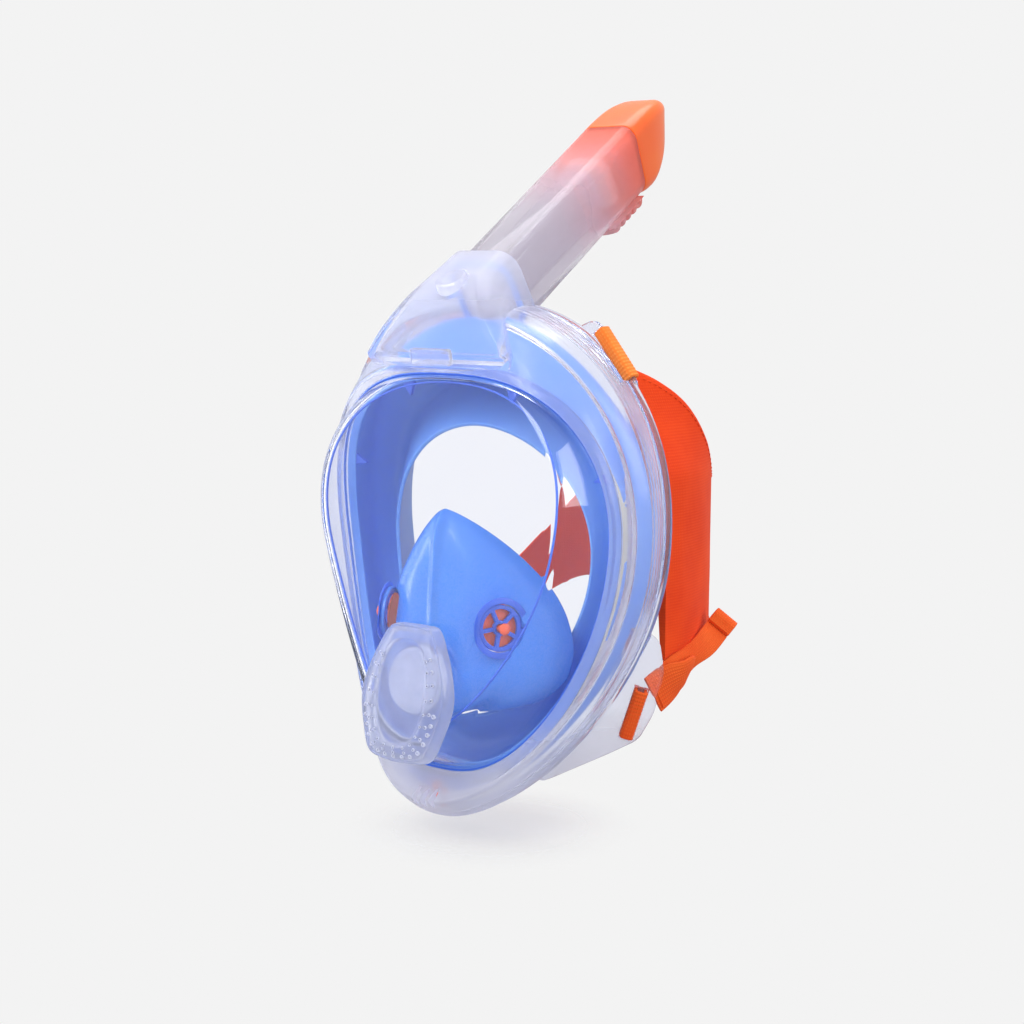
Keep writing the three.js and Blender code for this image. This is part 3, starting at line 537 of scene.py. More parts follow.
# ---------------------------------------------------------------- snorkel sections
def on_tube(x, n, l):
    x, n, l = np.broadcast_arrays(np.asarray(x, float), np.asarray(n, float), np.asarray(l, float))
    side = np.array((1.0, 0, 0))
    return ROOT + x[..., None] * side + n[..., None] * FACE + l[..., None] * ALONG


def rectangle(w, h, r, k=9):
    """The x and y of a rounded rectangle about its middle, with k steps round each corner."""
    xs, ys = [], []
    for sx, sy, a0 in ((1, 1, 0), (-1, 1, 90), (-1, -1, 180), (1, -1, 270)):
        a = np.radians(a0 + 90 * np.arange(k + 1) / k)
        xs.append(sx * (w / 2 - r) + r * np.cos(a))
        ys.append(sy * (h / 2 - r) + r * np.sin(a))
    return np.concatenate(xs), np.concatenate(ys)


def section(w, top, bot, r, l_front, l_rear=None):
    """A rounded rectangle across the snorkel; its front and rear edges may lie at different lengths."""
    l_rear = l_front if l_rear is None else l_rear
    x, y = rectangle(w, top - bot, r)
    n = (top + bot) / 2 + y
    return on_tube(x, n, l_rear + (l_front - l_rear) * (n - bot) / (top - bot))


def tube_section(grow, l_front, l_rear=None):
    return section(TUBE_W + 2 * grow, TUBE_H / 2 + grow, -TUBE_H / 2 - grow, TUBE_R + grow, l_front, l_rear)


# ---------------------------------------------------------------- visor
def build_visor():
    a = spread_angles(320)
    crease = edge("crease")(a)
    centre = np.array((0, LENS_CROWN_Y, RAIL["crease"]["zc"]))

    def panel(k):
        return centre + (crease - centre) * k * (1, k, 1)

    front = [panel(k) for k in (0.004, 0.03, *np.linspace(0.08, 0.9, 14))]
    bend = rounded([panel(0.9), panel(1.0), between(edge("crease"), edge("glass"), 0.55, 1.1, -0.6)(a),
                    edge("glass", 0.3, -1.0)(a), edge("glass", 4.0, 0.2)(a)], [0, 3.0, 9.0, 2.2, 0], 9,
                    loop=False)
    rows = np.concatenate([np.stack(front[:-1]), bend])
    m, n = rows.shape[:2]
    verts = np.concatenate([rows.reshape(-1, 3), rows[0].mean(0)[None]])
    faces = grid_faces(m, n, False, True) + [(m * n, (j + 1) % n, j) for j in range(n)]
    obj = mesh_object("visor", verts, faces)
    flip_to(obj, Vector((0, -1, 0)))
    solid = obj.modifiers.new("wall", "SOLIDIFY")
    solid.thickness, solid.offset, solid.use_even_offset = LENS_T * MM, -1, True
    settle(obj)
    tidy(obj, 50)
    carve(obj, [rod(PORT_R, -14, 14, on_axis(PORT_AT, PORT_AXIS), 96)], sharp_deg=40)
    put(obj, "mask", "lens", "visor_lens")


def flip_to(obj, direction):
    """Turns an open sheet's faces so that they look along the direction on the whole."""
    total = sum((p.normal * p.area for p in obj.data.polygons), Vector())
    if total.dot(direction) < 0:
        obj.data.flip_normals()


# ---------------------------------------------------------------- bezel with the hood
HOOD = [
    (-40, 68, 1, -6, 3), (-34, 61, 8.5, -11, 8), (-24, 48, 14.8, -20, 9), (-14, 38, 17.3, -19, 9),
    (-4, 33.4, 17.6, -17.4, 8), (3, 32.6, 17.4, -17.2, 8),
]
BUTTON_L, BUTTON_N = -17.0, 17.6
RIDGES = 5  # fine steps round the bezel's outer edge
# a strap's place on the left side: its middle, and its directions out, back and along the slot
SLOT = np.array((48.4, 0, 74.6)), unit((0.785, 0, 0.62)), np.array((0, 1.0, 0)), unit((0.62, 0, -0.785))
SLOT_HALF = 12.1


def spline_rows(values, count):
    """Catmull-Rom through rows of numbers, evenly in the first column."""
    v = np.array(values, float)
    t = np.linspace(0, len(v) - 1, count)
    out = []
    for q in t:
        i = min(int(q), len(v) - 2)
        f = q - i
        p0, p1, p2, p3 = v[max(i - 1, 0)], v[i], v[i + 1], v[min(i + 2, len(v) - 1)]
        out.append(0.5 * (2 * p1 + (p2 - p0) * f + (2 * p0 - 5 * p1 + 4 * p2 - p3) * f * f
                          + (3 * p1 - p0 - 3 * p2 + p3) * f ** 3))
    return out


def hood_rows(inset, first, last, count=26):
    rows = []
    for i, (l, w, top, bot, r) in enumerate(spline_rows(HOOD, count)):
        l = first if i == 0 else last if i == count - 1 else l
        rows.append(section(w - 2 * inset, top - inset, bot + inset, max(r - inset * 0.5, 1.5), l))
    return rows


def mirrored(points, sx):
    return np.asarray(points) * np.array((sx, 1, 1))


def at_place(place, out, back, along, sx):
    middle, *directions = place
    return mirrored(middle + sum(d * k for d, k in zip(directions, (out, back, along))), sx)


def block(name, place, out0, out1, back0, back1, half, sx):
    """A straight bar along a strap's place."""
    corners = (out0, back0), (out1, back0), (out1, back1), (out0, back1)
    return lofted(name, [[at_place(place, *corner, k, sx) for corner in corners] for k in (-half, half)])


def build_bezel():
    front = [edge("glass", 1.0, -3.4), edge("glass", 3.2, -4.6),
             between(edge("glass", 3.2, -4.6), edge("crown"), 0.45, 0.5, 0),
             edge("crown", -1.6, -0.3), edge("crown", -0.6, -1.2), edge("crown", 0.8, -0.6),
             between(edge("crown"), edge("rim"), 0.4, 1.5, -0.7)]
    for i in range(RIDGES):
        t = 0.5 + 0.1 * i
        swell = 1.45 * (1 - ((t - 0.5) / 0.5) ** 2)
        front += [between(edge("crown"), edge("rim"), t, swell - 0.15, -0.6 * (1 - i / RIDGES)),
                  between(edge("crown"), edge("rim"), t + 0.05, swell + 0.2, -0.6 * (1 - i / RIDGES))]
    front += [edge("rim"), edge("rim", 0, 2.0)]
    inside = [edge("rim", -SHELL_T, 2.0), between(edge("crown"), edge("rim"), 0.5, -1.0, 1.2),
              edge("crown", -1.6, 2.3), edge("glass", 4.8, 0.3), edge("glass", 4.4, -0.5),
              edge("glass", 1.0, -1.6)]
    shell = hoop("bezel", front + inside,
                 [0.8, 1.4, 6, 0.9, 1.0, 2, 3, *[0.5, 0.6] * RIDGES, 1.2, 0.5, 0.5, 6, 4, 0.8, 0.5, 0.5],
                 steps=4)
    a = spread_angles(128)
    behind = lofted("behind", rounded([c(a) for c in [edge("rim", -SHELL_T, 40), *inside[:5]]], [1] * 6, 2,
                                      loop=False))
    hood = carve(lofted("hood", hood_rows(0, -40, 3)), [behind])
    carve(shell, [hood], "UNION")
    slots = []
    t = np.arange(24) / 24 * TAU
    for x, z in ((-4.2, -91.5), (0, -92.2), (4.2, -91.5)):
        slots.append(lofted(f"slot{x}", [
            np.stack([x + 1.3 * np.cos(t), np.full(24, y), z + 3.4 * np.sin(t)], -1) for y in (-60, -38)]))
    button = rod(6.9, -6, 6, on_axis(on_tube(0, BUTTON_N, BUTTON_L), FACE))
    room = lofted("room", hood_rows(2.2, -36, 6))
    bore = lofted("bore", [tube_section(SOCKET_GAP, -12), tube_section(SOCKET_GAP, 30)])
    notches = [block(f"notch{sx}", SLOT, -1.35, 12, -0.6, 12, SLOT_HALF, sx) for sx in (1, -1)]
    carve(shell, [room, bore, button, *notches, *slots])
    put(shell, "mask", "clear", "front_bezel")


# ---------------------------------------------------------------- rear rim
LUG_X, LUG_Z, LUG_Y, LUG_T = 0.75, -0.16, -46.5, 4.4


def lug_at(x, z):
    return np.array((x, LUG_Y + LUG_X * x + LUG_Z * z, z))


BAR_ALONG = unit(lug_at(62.1, -49) - lug_at(55.5, -69.8))
BAR_BACK = unit((-LUG_X, 1, -LUG_Z))
BAR = lug_at(58.8, -59.4), -unit(np.cross(BAR_BACK, BAR_ALONG)), BAR_BACK, BAR_ALONG


def build_rear_rim():
    curves = [edge("rim", -0.2, 2.4), edge("rim", 0.1, 5.6), edge("rim", -2.2, 9.2), edge("rim", -5.6, 8.4),
              edge("rim", -5.4, 2.4)]
    shell = hoop("rear_shell", curves, [0.5, 1.8, 1.8, 1.0, 0.5])
    parts = []
    for sx in (1, -1):
        upper = soft_line([(-6, -18.5), (1.2, -16.5), (3.0, -13.5), (3.0, 13.5), (1.2, 16.5), (-6, 18.5)],
                          [1.6] * 6, 5)

        def upper_row(y, inset=0.0):
            return [at_place(SLOT, o * (1 - inset), y, k * (1 - inset), sx) for o, k in upper]
        parts.append(lofted("upper_lug", [upper_row(5.4, 0.03), upper_row(5.8), upper_row(7.6),
                                          upper_row(8.0, 0.03)]))
        lower = soft_line([(62, -24), (56, -44), (44, -68), (28, -82), (30, -88), (50, -77), (60, -71),
                           (65.5, -60),
                           (69.5, -44), (69, -31)], [3.0] * 10, 5)
        middle = np.mean(lower, 0)

        def lower_row(depth, shrink=0.0):
            return [mirrored(lug_at(*(middle + (q - middle) * (1 - shrink))) - (0, depth, 0), sx)
                    for q in lower]
        ear = lofted("lower_lug", [lower_row(0, 0.02), lower_row(0.6), lower_row(LUG_T - 0.6),
                                   lower_row(LUG_T, 0.02)])
        carve(ear, [block("inner_slot", BAR, -2.9, -1.0, -9, 4, 10.8, sx),
                    block("outer_slot", BAR, 1.0, 2.9, -9, 4, 10.8, sx)])
        parts.append(ear)
    tube_clear = lofted("tube_clear", [tube_section(0.35, -20), tube_section(0.35, 40)])
    hood_clear = lofted("hood_clear", [section(34.6, 19, -18.6, 8, -24), section(33.4, 18.2, -17.9, 8, 3.6)])
    slots = [block(f"strap_slot{sx}", SLOT, -1.25, 1.25, 0, 40, SLOT_HALF, sx) for sx in (1, -1)]
    notches = [block(f"rear_notch{sx}", SLOT, -1.35, 12, -0.6, 5.3, SLOT_HALF, sx) for sx in (1, -1)]
    carve(shell, parts, "UNION", then_cut=[tube_clear, hood_clear, *slots, *notches])
    put(shell, "mask", "clear", "rear_rim")


# ---------------------------------------------------------------- silicone skirt and pocket
def build_skirt():
    curves = [
        edge("glass", -2.6, 2.7), edge("glass", 3.6, 2.7), edge("band", 0.4, -1.6),
        between(edge("band"), edge("back"), 0.5, 0.8, 0), edge("back", 0, -1.5), edge("back", -2.2, 1.4),
        edge("back", -6, 1.8), edge("lip", 0.8, 1.0), edge("lip"), edge("lip", 1.3, -0.9),
        edge("back", -4.4, -2.6), edge("band", -1.8, 0.5), edge("glass", -2.0, 5.2),
    ]
    skirt = hoop("skirt", curves, [0.6, 1.0, 3, 6, 3, 3, 6, 0.5, 0.5, 0.6, 8, 4, 2], steps=6)
    put(skirt, "mask", "blue", "face_skirt")
    # painted refraction lines: a thin deep blue ring round the lens's edge, between the visor's flange and
    # the bezel, and another inside the lens along its crease, draw the blue lines that the silicone makes
    # when seen through the clear edges; they stand for no part of the mask
    edge_refraction_ring = hoop("painted_lens_edge_line", [edge("glass", 0.1, -1.6), edge("glass", 0.1, -2.3), edge("glass", 0.8, -2.3),
                              edge("glass", 0.8, -1.6)],
                [0.3] * 4, steps=3)
    put(edge_refraction_ring, "mask", "blue_deep")
    crease_refraction_ring = hoop("painted_lens_crease_line", [edge("crease", -2.5 - o, 2.5 + d) for o,
                              d in ((0, 0), (0, 0.9), (0.6, 0.9), (0.6, 0))],
                [0.25] * 4, steps=3)
    put(crease_refraction_ring, "mask", "blue_deep")
    tabs = []
    for a in np.radians([-12.0, 16.0, -62.0, 62.0]):
        root, tip = edge("glass", -1.2, 3.0), edge("glass", -7.5, 3.6)
        tri = [root(a - 0.045), root(a + 0.045), tip(a + 0.004), tip(a - 0.004)]
        tabs.append(lofted("tab", [np.array(tri), np.array(tri) + (0, 1.4, 0)]))
    put(join("skirt_tabs", tabs), "mask", "blue_deep")


# the fold over the bridge of the nose, which the CAD leaves out, and its half width in radians
NOSE_RIDGE, RIDGE_SPREAD = np.array((0, -2.4, 0.6)), 0.13


def build_pocket():
    a = spread_angles(200)
    thick = 1.7

    def neck(r, back):
        x, up = np.sin(a)[:, None] * r, np.cos(a)[:, None] * r
        return PORT_AT + x * np.array((1.0, 0, 0)) + up * PORT_UP - PORT_AXIS * back
    e, w = edge("pocket_edge"), edge("pocket_wall")
    ei, wi = edge("pocket_edge", -thick), edge("pocket_wall", -thick)
    from_top = (a + math.pi) % TAU - math.pi
    ridge = np.exp(-(from_top / RIDGE_SPREAD) ** 2)[:, None] * NOSE_RIDGE
    curves = [neck(15.6, 3.6), neck(16.4, 5.6), w(a) + ridge, between(e, w, 0.5, 1.6)(a) + ridge * 0.9,
              edge("pocket_edge", 0, -0.4)(a), edge("pocket_edge", -thick, 0.8)(a),
              between(wi, ei, 0.5, 1.2, 0.5)(a) + ridge * 0.9, edge("pocket_wall", -thick, 1.0)(a) + ridge,
              neck(14.2, 6.2), neck(13.6, 3.6)]
    rows = rounded(curves, [0.5, 2.5, 9, 12, 0.6, 0.6, 12, 8, 2.5, 0.5], 8)
    m, n = rows.shape[:2]
    shell = mesh_object("pocket", rows.reshape(-1, 3), grid_faces(m, n, True, True), 60)
    pads, bores = [], []
    for sx in (1, -1):
        where = on_axis(inhale_at(sx), inhale_axis(sx))
        pads.append(lathe("pad", [(0, -1.6), (INHALE_R + 1.5, -1.6), (INHALE_R + 1.1, 0.5), (0, 0.5)], where,
                          0.5, 64))
        bores.append(rod(INHALE_R + 0.3, -5.5, 5.5, where, 64))
    carve(shell, pads, "UNION", 50)
    carve(shell, bores, sharp_deg=42)
    put(shell, "mask", "blue_soft", "nose_pocket")


def inhale_axis(sx):
    return unit((sx * math.sin(INHALE_AZIMUTH), -math.cos(INHALE_AZIMUTH), 0.06))


def inhale_at(sx):
    return np.array((sx * INHALE_X, INHALE_Y, INHALE_Z))


def arc(r, a0, a1, k):
    a = np.linspace(a0, a1, k)
    return [(r * math.cos(t), r * math.sin(t)) for t in a]


def circle(r, n):
    return arc(r, 0, TAU * (n - 1) / n, n)


def spoked(name, matrix, r, spokes, hub, bore, thick, rim, gap=1.5):
    outer = circle(r, 96)
    holes = []
    for i in range(spokes):
        a0, a1 = i / spokes * TAU, (i + 1) / spokes * TAU
        ri = r - rim
        o, q = math.asin(gap / 2 / ri), math.asin(min(0.95, gap / 2 / hub))
        corners = arc(ri, a0 + o, a1 - o, 12) + arc(hub, a1 - q, a0 + q, 8)
        holes.append(soft_line(corners, [0.45] * len(corners), 3))
    holes.append(circle(bore, 32))
    return outline_solid(name, outer, holes, thick, matrix, 0.22)


def build_valves():
    for side, sx in (("left", 1), ("right", -1)):
        where = on_axis(inhale_at(sx), inhale_axis(sx))
        seat = spoked(f"cheek_seat_{side}", where, INHALE_R, 5, 2.9, 1.7, 1.6, 1.6)
        put(seat, "mask", "blue_deep", f"inhale_seat_{side}")
        ring = outline_solid(f"cheek_ring_{side}", circle(INHALE_R + 2.8, 96), [circle(INHALE_R + 0.35, 96)],
                             0.6,
                             where @ Matrix.Translation((0, 0.9, 0)), 0.2)
        put(ring, "mask", "blue_deep")
        r, t, reach = INHALE_R - 1.2, 0.9, 4.4
        disc = lathe(f"cheek_membrane_{side}", [
            (0, -t), (r, -t + 0.2), (r, 0), (1.3, 0), (1.3, reach), (2.2, reach + 0.3), (2.2, reach + 1.4),
            (0, reach + 2.2)],
            where @ Matrix.Translation((0, -1.95, 0)), 0.35)
        put(disc, f"inhale_membrane_{side}", "orange_soft", f"inhale_membrane_{side}")
    where = on_axis(PORT_AT, PORT_AXIS)
    seat = spoked("port_seat", where @ Matrix.Translation((0, 0.6, 0)), PORT_R - 0.4, 4, 3.4, 1.8, 2.0, 2.0,
                  1.8)
    put(seat, "mask", "white", "speak_seat")
    r = PORT_R - 1.8
    disc = lathe("port_membrane", [(0, 1.0), (r, 0.8), (r, 0), (1.4, 0), (1.4, -5.2), (2.4, -5.5),
                                   (2.4, -6.6), (0, -7.2)],
                 where @ Matrix.Translation((0, 0.95, 0)), 0.35)
    put(disc, "speak_membrane", "white_soft", "speak_membrane")
    build_cover()
    drain = on_axis((0, DRAIN_Y, DRAIN_Z), (0, -1, 0))
    seat = spoked("chin_seat", drain @ Matrix.Translation((0, -3.0, 0)), DRAIN_R, 4, 2.2, 1.3, 1.2, 1.2, 1.2)
    put(seat, "mask", "white", "drain_seat")
    disc = lathe("chin_membrane", [(0, 0.7), (DRAIN_R - 0.8, 0.6), (DRAIN_R - 0.8, 0), (0.8, 0), (0.8, -1.5),
                                   (0, -1.7)],
                 drain @ Matrix.Translation((0, -2.65, 0)), 0.2)
    put(disc, "drain_membrane", "orange_soft", "drain_membrane")


COVER_MID = -5.2  # the cover's middle, along its height from the port
COVER_HALF = [(4, 20.9), (9.6, 20.2), (15.2, 11.5), (19.8, -0.5), (20.8, -8), (18.2, -19), (13.6, -29),
              (5, -31.2)]
RECESS_WIDE, RECESS_TALL = 11.0, 19.0  # half sizes of the oval dish in the cover's middle
VENT_R = 0.42  # of the air holes in the cover's raised dots; the CAD's are wider


def cover_outline(a):
    """The shield's outline at angles about its middle, from the top towards +X."""
    loop = COVER_HALF + [(-x, u) for x, u in reversed(COVER_HALF)]
    line = centripetal(loop + loop[:3])
    x, u = line[:, 0], line[:, 1] - COVER_MID
    turn = np.arctan2(x, u) % TAU
    order = np.argsort(turn)
    radius = np.interp(np.asarray(a) % TAU, turn[order], np.hypot(x, u)[order], period=TAU)
    return radius * np.sin(a), radius * np.cos(a)


def recess_outline(a):
    s, c = np.sin(a), np.cos(a)
    return RECESS_WIDE * np.sign(s) * np.abs(s) ** 0.72, RECESS_TALL * np.sign(c) * np.abs(c) ** 0.9


def cover_point(k, mix, a, h):
    """A point of the cover: mix goes from the dish's outline (0) to the shield's (1), and k scales it."""
    (x0, u0), (x1, u1) = recess_outline(a), cover_outline(a)
    x, u = (x0 + (x1 - x0) * mix) * k, (u0 + (u1 - u0) * mix) * k + COVER_MID
    return PORT_AT + x[..., None] * np.array((1.0, 0, 0)) + u[..., None] * PORT_UP + h * PORT_AXIS


def build_cover():
    a = np.arange(200) / 200 * TAU
    outside = [(0.01, 0, 7.9), (0.5, 0, 7.8), (0.9, 0, 7.9), (1.0, 0, 8.1), (1.06, 0, 9.0), (1, 0.2, 9.2),
               (1, 0.62, 8.1),
               (1, 0.8, 7.1), (1, 0.84, 7.5), (1, 0.9, 7.3), (1, 0.955, 5.6), (1, 1, 1.7)]
    inside = [(0.93, 1, 1.7), (0.9, 1, 4.4), (0.86, 1, 5.6), (1, 0.55, 6.5), (1, 0.15, 7.2), (0.98, 0, 6.6),
              (0.5, 0, 6.2),
              (0.01, 0, 6.2)]
    radii = [0, 3, 1.0, 0.8, 0.7, 1.5, 3, 0.5, 0.4, 0.6, 1.5, 0.5, 0.4, 2, 2, 2, 0.8, 0.8, 2, 0]
    rows = rounded([cover_point(k, mix, a, h) for k, mix, h in outside + inside], radii, 5, loop=False)
    dome = lofted("valve_cover", rows, sharp_deg=45)
    dots, dome_holes, dot_holes = [], [], []
    for mix, count, low, high, r in ((0.2, 19, 50, 310, 0.72), (0.42, 19, 48, 312, 0.85),
                                     (0.62, 15, 108, 252, 0.95)):
        for t in np.radians(np.linspace(low, high, count)):
            p = cover_point(1, mix, np.array(t), 9.45 - mix * 2.1)
            dots.append(lathe("dot", [(0, -0.8), (r, -0.8), (r * 0.9, 0.1), (0, 0.3)], on_axis(p, PORT_AXIS),
                              0.25, 14))
            for group in (dome_holes, dot_holes):
                group.append(rod(VENT_R, -6, 3, on_axis(p, PORT_AXIS), 12))
    carve(dome, [join("holes", dome_holes)], sharp_deg=42)
    collars = carve(join("cover_dots", dots), [join("holes", dot_holes)], sharp_deg=42)
    put(collars, "mask", "dots")
    put(dome, "mask", "frosted", "speak_cover")


# ---------------------------------------------------------------- snorkel
def build_snorkel():
    w = TUBE_WALL
    outer = [tube_section(0, TUBE_START), tube_section(0, TUBE_END_FRONT, TUBE_END_REAR)]
    inner = [tube_section(-w, TUBE_END_FRONT, TUBE_END_REAR), tube_section(-w, TUBE_START)]
    tube = lofted("tube", rounded(outer + inner, [0.6] * 4, 4), ring=True)
    put(tube, "snorkel", "tube", "snorkel_tube")

    def duct(g, l):
        return section(11.5 + 2 * g, 10.5 + g, -10.5 - g, 2.4 + g, l)
    rows = rounded([duct(0, TUBE_START + 1), duct(0, 70), duct(-1.1, 70), duct(-1.1, TUBE_START + 1)],
                   [0.3] * 4, 4)
    put(lofted("inner_duct", rows, ring=True), "snorkel", "tube", "air_duct")

    cw = -w - 0.35
    rows = rounded([tube_section(cw, 72), tube_section(cw, 98.6, 93.6), tube_section(cw - 1.3, 98.6, 93.6),
                    tube_section(cw - 1.3, 73.6), section(9.2, 8.2, -8.2, 2.2, 73.6),
                    section(9.2, 8.2, -8.2, 2.2, 72)], [0.8, 0.5, 0.4, 1.2, 0.5, 0.5], 4)
    put(lofted("chamber", rows, ring=True), "snorkel", "chamber", "float_chamber")

    def seal(l):
        return section(20.1, 10.5, -10.5, 3.2, l)

    def hole(l):
        return section(10.5, 7, -7, 2.4, l)
    rows = rounded([seal(88), seal(89.8), hole(89.8), hole(88)], [0.5] * 4, 4)
    put(lofted("seal_ring", rows, ring=True), "snorkel", "blue", "float_seal")
    rows = rounded([section(14, 8.1, -8.1, 3, 74.0), section(15, 8.6, -8.6, 3, 74.1),
                    section(18, 9.8, -9.8, 4.6, 75.6), section(18, 9.8, -9.8, 4.6, 80.6),
                    section(14, 8.4, -8.4, 4.0, 82.8), section(10, 6, -6, 3, 82.9)],
                   [0, 0.4, 1.2, 1.2, 0.8, 0], 4, loop=False)
    put(lofted("float_body", rows), "float", "white", "dry_top_float")

    build_cap()
    build_guard()
    g0, g1 = TUBE_START - 2.6, TUBE_START - 0.35
    rows = rounded([tube_section(-0.1, g0), tube_section(-0.1, g1), tube_section(-w, g1),
                    tube_section(-w, g0)], [0.5] * 4, 4)
    put(lofted("foot_gasket", rows, ring=True), "snorkel", "blue", "base_gasket")


def cap_row(n_a, l_a, n_b, l_b, w, r):
    """A rounded rectangle between a front and a rear point, each given by its height n and length l."""
    h = math.hypot(n_a - n_b, l_a - l_b)
    x, y = rectangle(w, h, r)
    t = 0.5 + y / h
    return on_tube(x, n_b + (n_a - n_b) * t, l_b + (l_a - l_b) * t)


def build_cap():
    o = 0.08
    ef, er = TUBE_END_FRONT, TUBE_END_REAR
    rows = rounded([
        cap_row(3, 127, -3, 123.5, 3, 1.2), cap_row(7.2, 123.5, -6, 115, 15, 4.5),
        cap_row(10.8, 116, -10.6, 104, 21, 5),
        cap_row(12.4, 102, -12.4, 96.4, 23.4, 4.9), cap_row(12.4, ef + o, -12.4, er + o, 23.4, 4.9),
        cap_row(14.25, ef + o, -14.25, er + o, 27.5, 6.4), cap_row(14.3, 104, -15.4, 97.3, 27.5, 6.4),
        cap_row(13.7, 117, -16.2, 105.0, 26.4, 6.2), cap_row(11.0, 127.5, -11.6, 115.8, 22.5, 5.6),
        cap_row(7.0, 133, -2.6, 125.4, 16, 4.2), cap_row(4.6, 133.6, -0.4, 128.4, 11, 2.4)],
        [0, 2, 2, 1, 0.4, 0.5, 6, 9, 9, 2.4, 0], 6, loop=False)
    put(lofted("cap", rows, sharp_deg=50), "snorkel", "orange", "top_cap")


def build_guard():
    def row(l, g):
        b = -TUBE_H / 2
        soft = soft_line([(-12.2, b - 0.35), (12.2, b - 0.35), (11.4, b - 2.2 - g), (6, b - 3.6 - g),
                          (0, b - 4 - g),
                          (-6, b - 3.6 - g), (-11.4, b - 2.2 - g)], [0.6, 0.6, 1.6, 3, 3, 3, 1.6], 4)
        return on_tube(*soft.T, l)
    stations = [(68, -1.6)]
    start = 71.0
    while start < 92:
        stations += [(start, 1.5), (start + 1.8, 1.5), (start + 2.6, -1.2), (start + 4.0, -1.2)]
        start += 4.6
    rows = rounded([row(l, g) for l, g in stations], [0, *[0.7] * (len(stations) - 2), 0], 4, loop=False)
    put(lofted("guard", rows), "snorkel", "guard", "outlet_guard")


def build_small_parts():
    where = on_axis(on_tube(0, BUTTON_N, BUTTON_L), FACE) @ Matrix.Diagonal((1, 1, 0.96, 1))
    button = lathe("button", [(0, -3.4), (6.4, -3.4), (6.4, 0.4), (5.6, 1.2), (3.6, 0.7), (0, 0.5)], where,
                   0.6, 96)
    put(button, "release_button", "clear", "release_button")
    place = Matrix.Translation((0, -40.6, 75.5)) @ Matrix.Rotation(math.pi / 2 + 0.2, 4, "X")

    def plate(h, v, z):
        corners = [(-h, -v), (h, -v), (h, v), (-h, v)]
        return moved([(x, y, z) for x, y in soft_line(corners, [1.2] * 4, 5)], place)

    def rib(y):
        return lofted("rib", [moved([(-7.5, y, z), (7.5, y, z), (7.5, y + 0.5, z), (-7.5, y + 0.5, z)], place)
                              for z in (-0.7, 0.0)])
    clip = lofted("clip", [plate(9.1, 2.7, -0.4), plate(9.5, 3.1, 0.0), plate(9.5, 3.1, 1.6),
                           plate(9.1, 2.7, 2.0)])
    carve(clip, [rib(1.2), rib(-0.2), rib(-1.6)], "UNION")
    put(clip, "mask", "clear", "brow_clip")


# ---------------------------------------------------------------- strap
BAND_PATH = [(67, 14.6), (67.6, 26), (64.3, 45), (56.8, 62), (44, 78), (22, 93), (-4, 99), (-30, 93.5),
             (-50, 79), (-62, 58),
             (-66, 35), (-64, 15)]
# share of the path, lower edge, upper edge
BAND_MAIN = [(0, -40, 72.5), (0.03, -38, 69), (0.06, -37.5, 65), (0.1, -37, 57), (0.15, -36.5, 42.5),
             (0.2, -36, 30),
             (0.28, -35, 26), (0.4, -33, 26), (0.5, -29, 22), (0.6, -27, 12), (0.68, -36, -8),
             (0.75, -49, -24),
             (0.86, -62, -36), (0.93, -70, -46), (1, -72, -50)]
BAND_UPPER = [(0.36, -2, 22), (0.42, 2, 28), (0.5, 7, 37), (0.6, 14, 44), (0.7, 30, 58), (0.8, 46, 72),
              (0.9, 58, 80), (1, 64, 84)]
# from this height up, the band's ends lean in towards the upper lugs
LEAN_FROM, LEAN, LEAN_SHARE = 30, 0.5, 0.2


def centripetal(points, per_span=24):
    """A dense centripetal Catmull-Rom line through the points."""
    p = np.asarray(points, float)
    p = np.concatenate([[2 * p[0] - p[1]], p, [2 * p[-1] - p[-2]]])
    line = []
    for i in range(1, len(p) - 2):
        p0, p1, p2, p3 = p[i - 1:i + 3]
        t0 = 0.0
        t1 = t0 + np.linalg.norm(p1 - p0) ** 0.5
        t2 = t1 + np.linalg.norm(p2 - p1) ** 0.5
        t3 = t2 + np.linalg.norm(p3 - p2) ** 0.5
        for t in np.linspace(t1, t2, per_span, endpoint=False):
            a1 = (t1 - t) / (t1 - t0) * p0 + (t - t0) / (t1 - t0) * p1
            a2 = (t2 - t) / (t2 - t1) * p1 + (t - t1) / (t2 - t1) * p2
            a3 = (t3 - t) / (t3 - t2) * p2 + (t - t2) / (t3 - t2) * p3
            b1 = (t2 - t) / (t2 - t0) * a1 + (t - t0) / (t2 - t0) * a2
            b2 = (t3 - t) / (t3 - t1) * a2 + (t - t1) / (t3 - t1) * a3
            line.append((t2 - t) / (t2 - t1) * b1 + (t - t1) / (t2 - t1) * b2)
    line.append(p[-2])
    return np.array(line)


def even(line, shares):
    """Points and directions at the given shares of a line's length, and its length."""
    at = lengths(line)
    total = at[-1]
    s = np.asarray(shares) * total
    d = sample(np.minimum(s + 0.5, total), at, line) - sample(np.maximum(s - 0.5, 0), at, line)
    return sample(s, at, line), d / np.linalg.norm(d, axis=1, keepdims=True), total


def soft_table(table, shares):
    """The table's lower and upper edges at the shares, through a smooth curve."""
    fine = np.array(spline_rows(table, 40 * len(table)))
    fine = fine[np.argsort(fine[:, 0])]
    return sample(shares, fine[:, 0], fine[:, 1:]).T


def lean_in(x, z, share):
    """How far the band leans in at the height z: only near its ends, and from LEAN_FROM up."""
    end = np.maximum(0, 1 - np.minimum(share, 1 - share) / LEAN_SHARE)
    return -np.sign(x) * np.maximum(0, z - LEAN_FROM) * LEAN * (end * end * (3 - 2 * end))


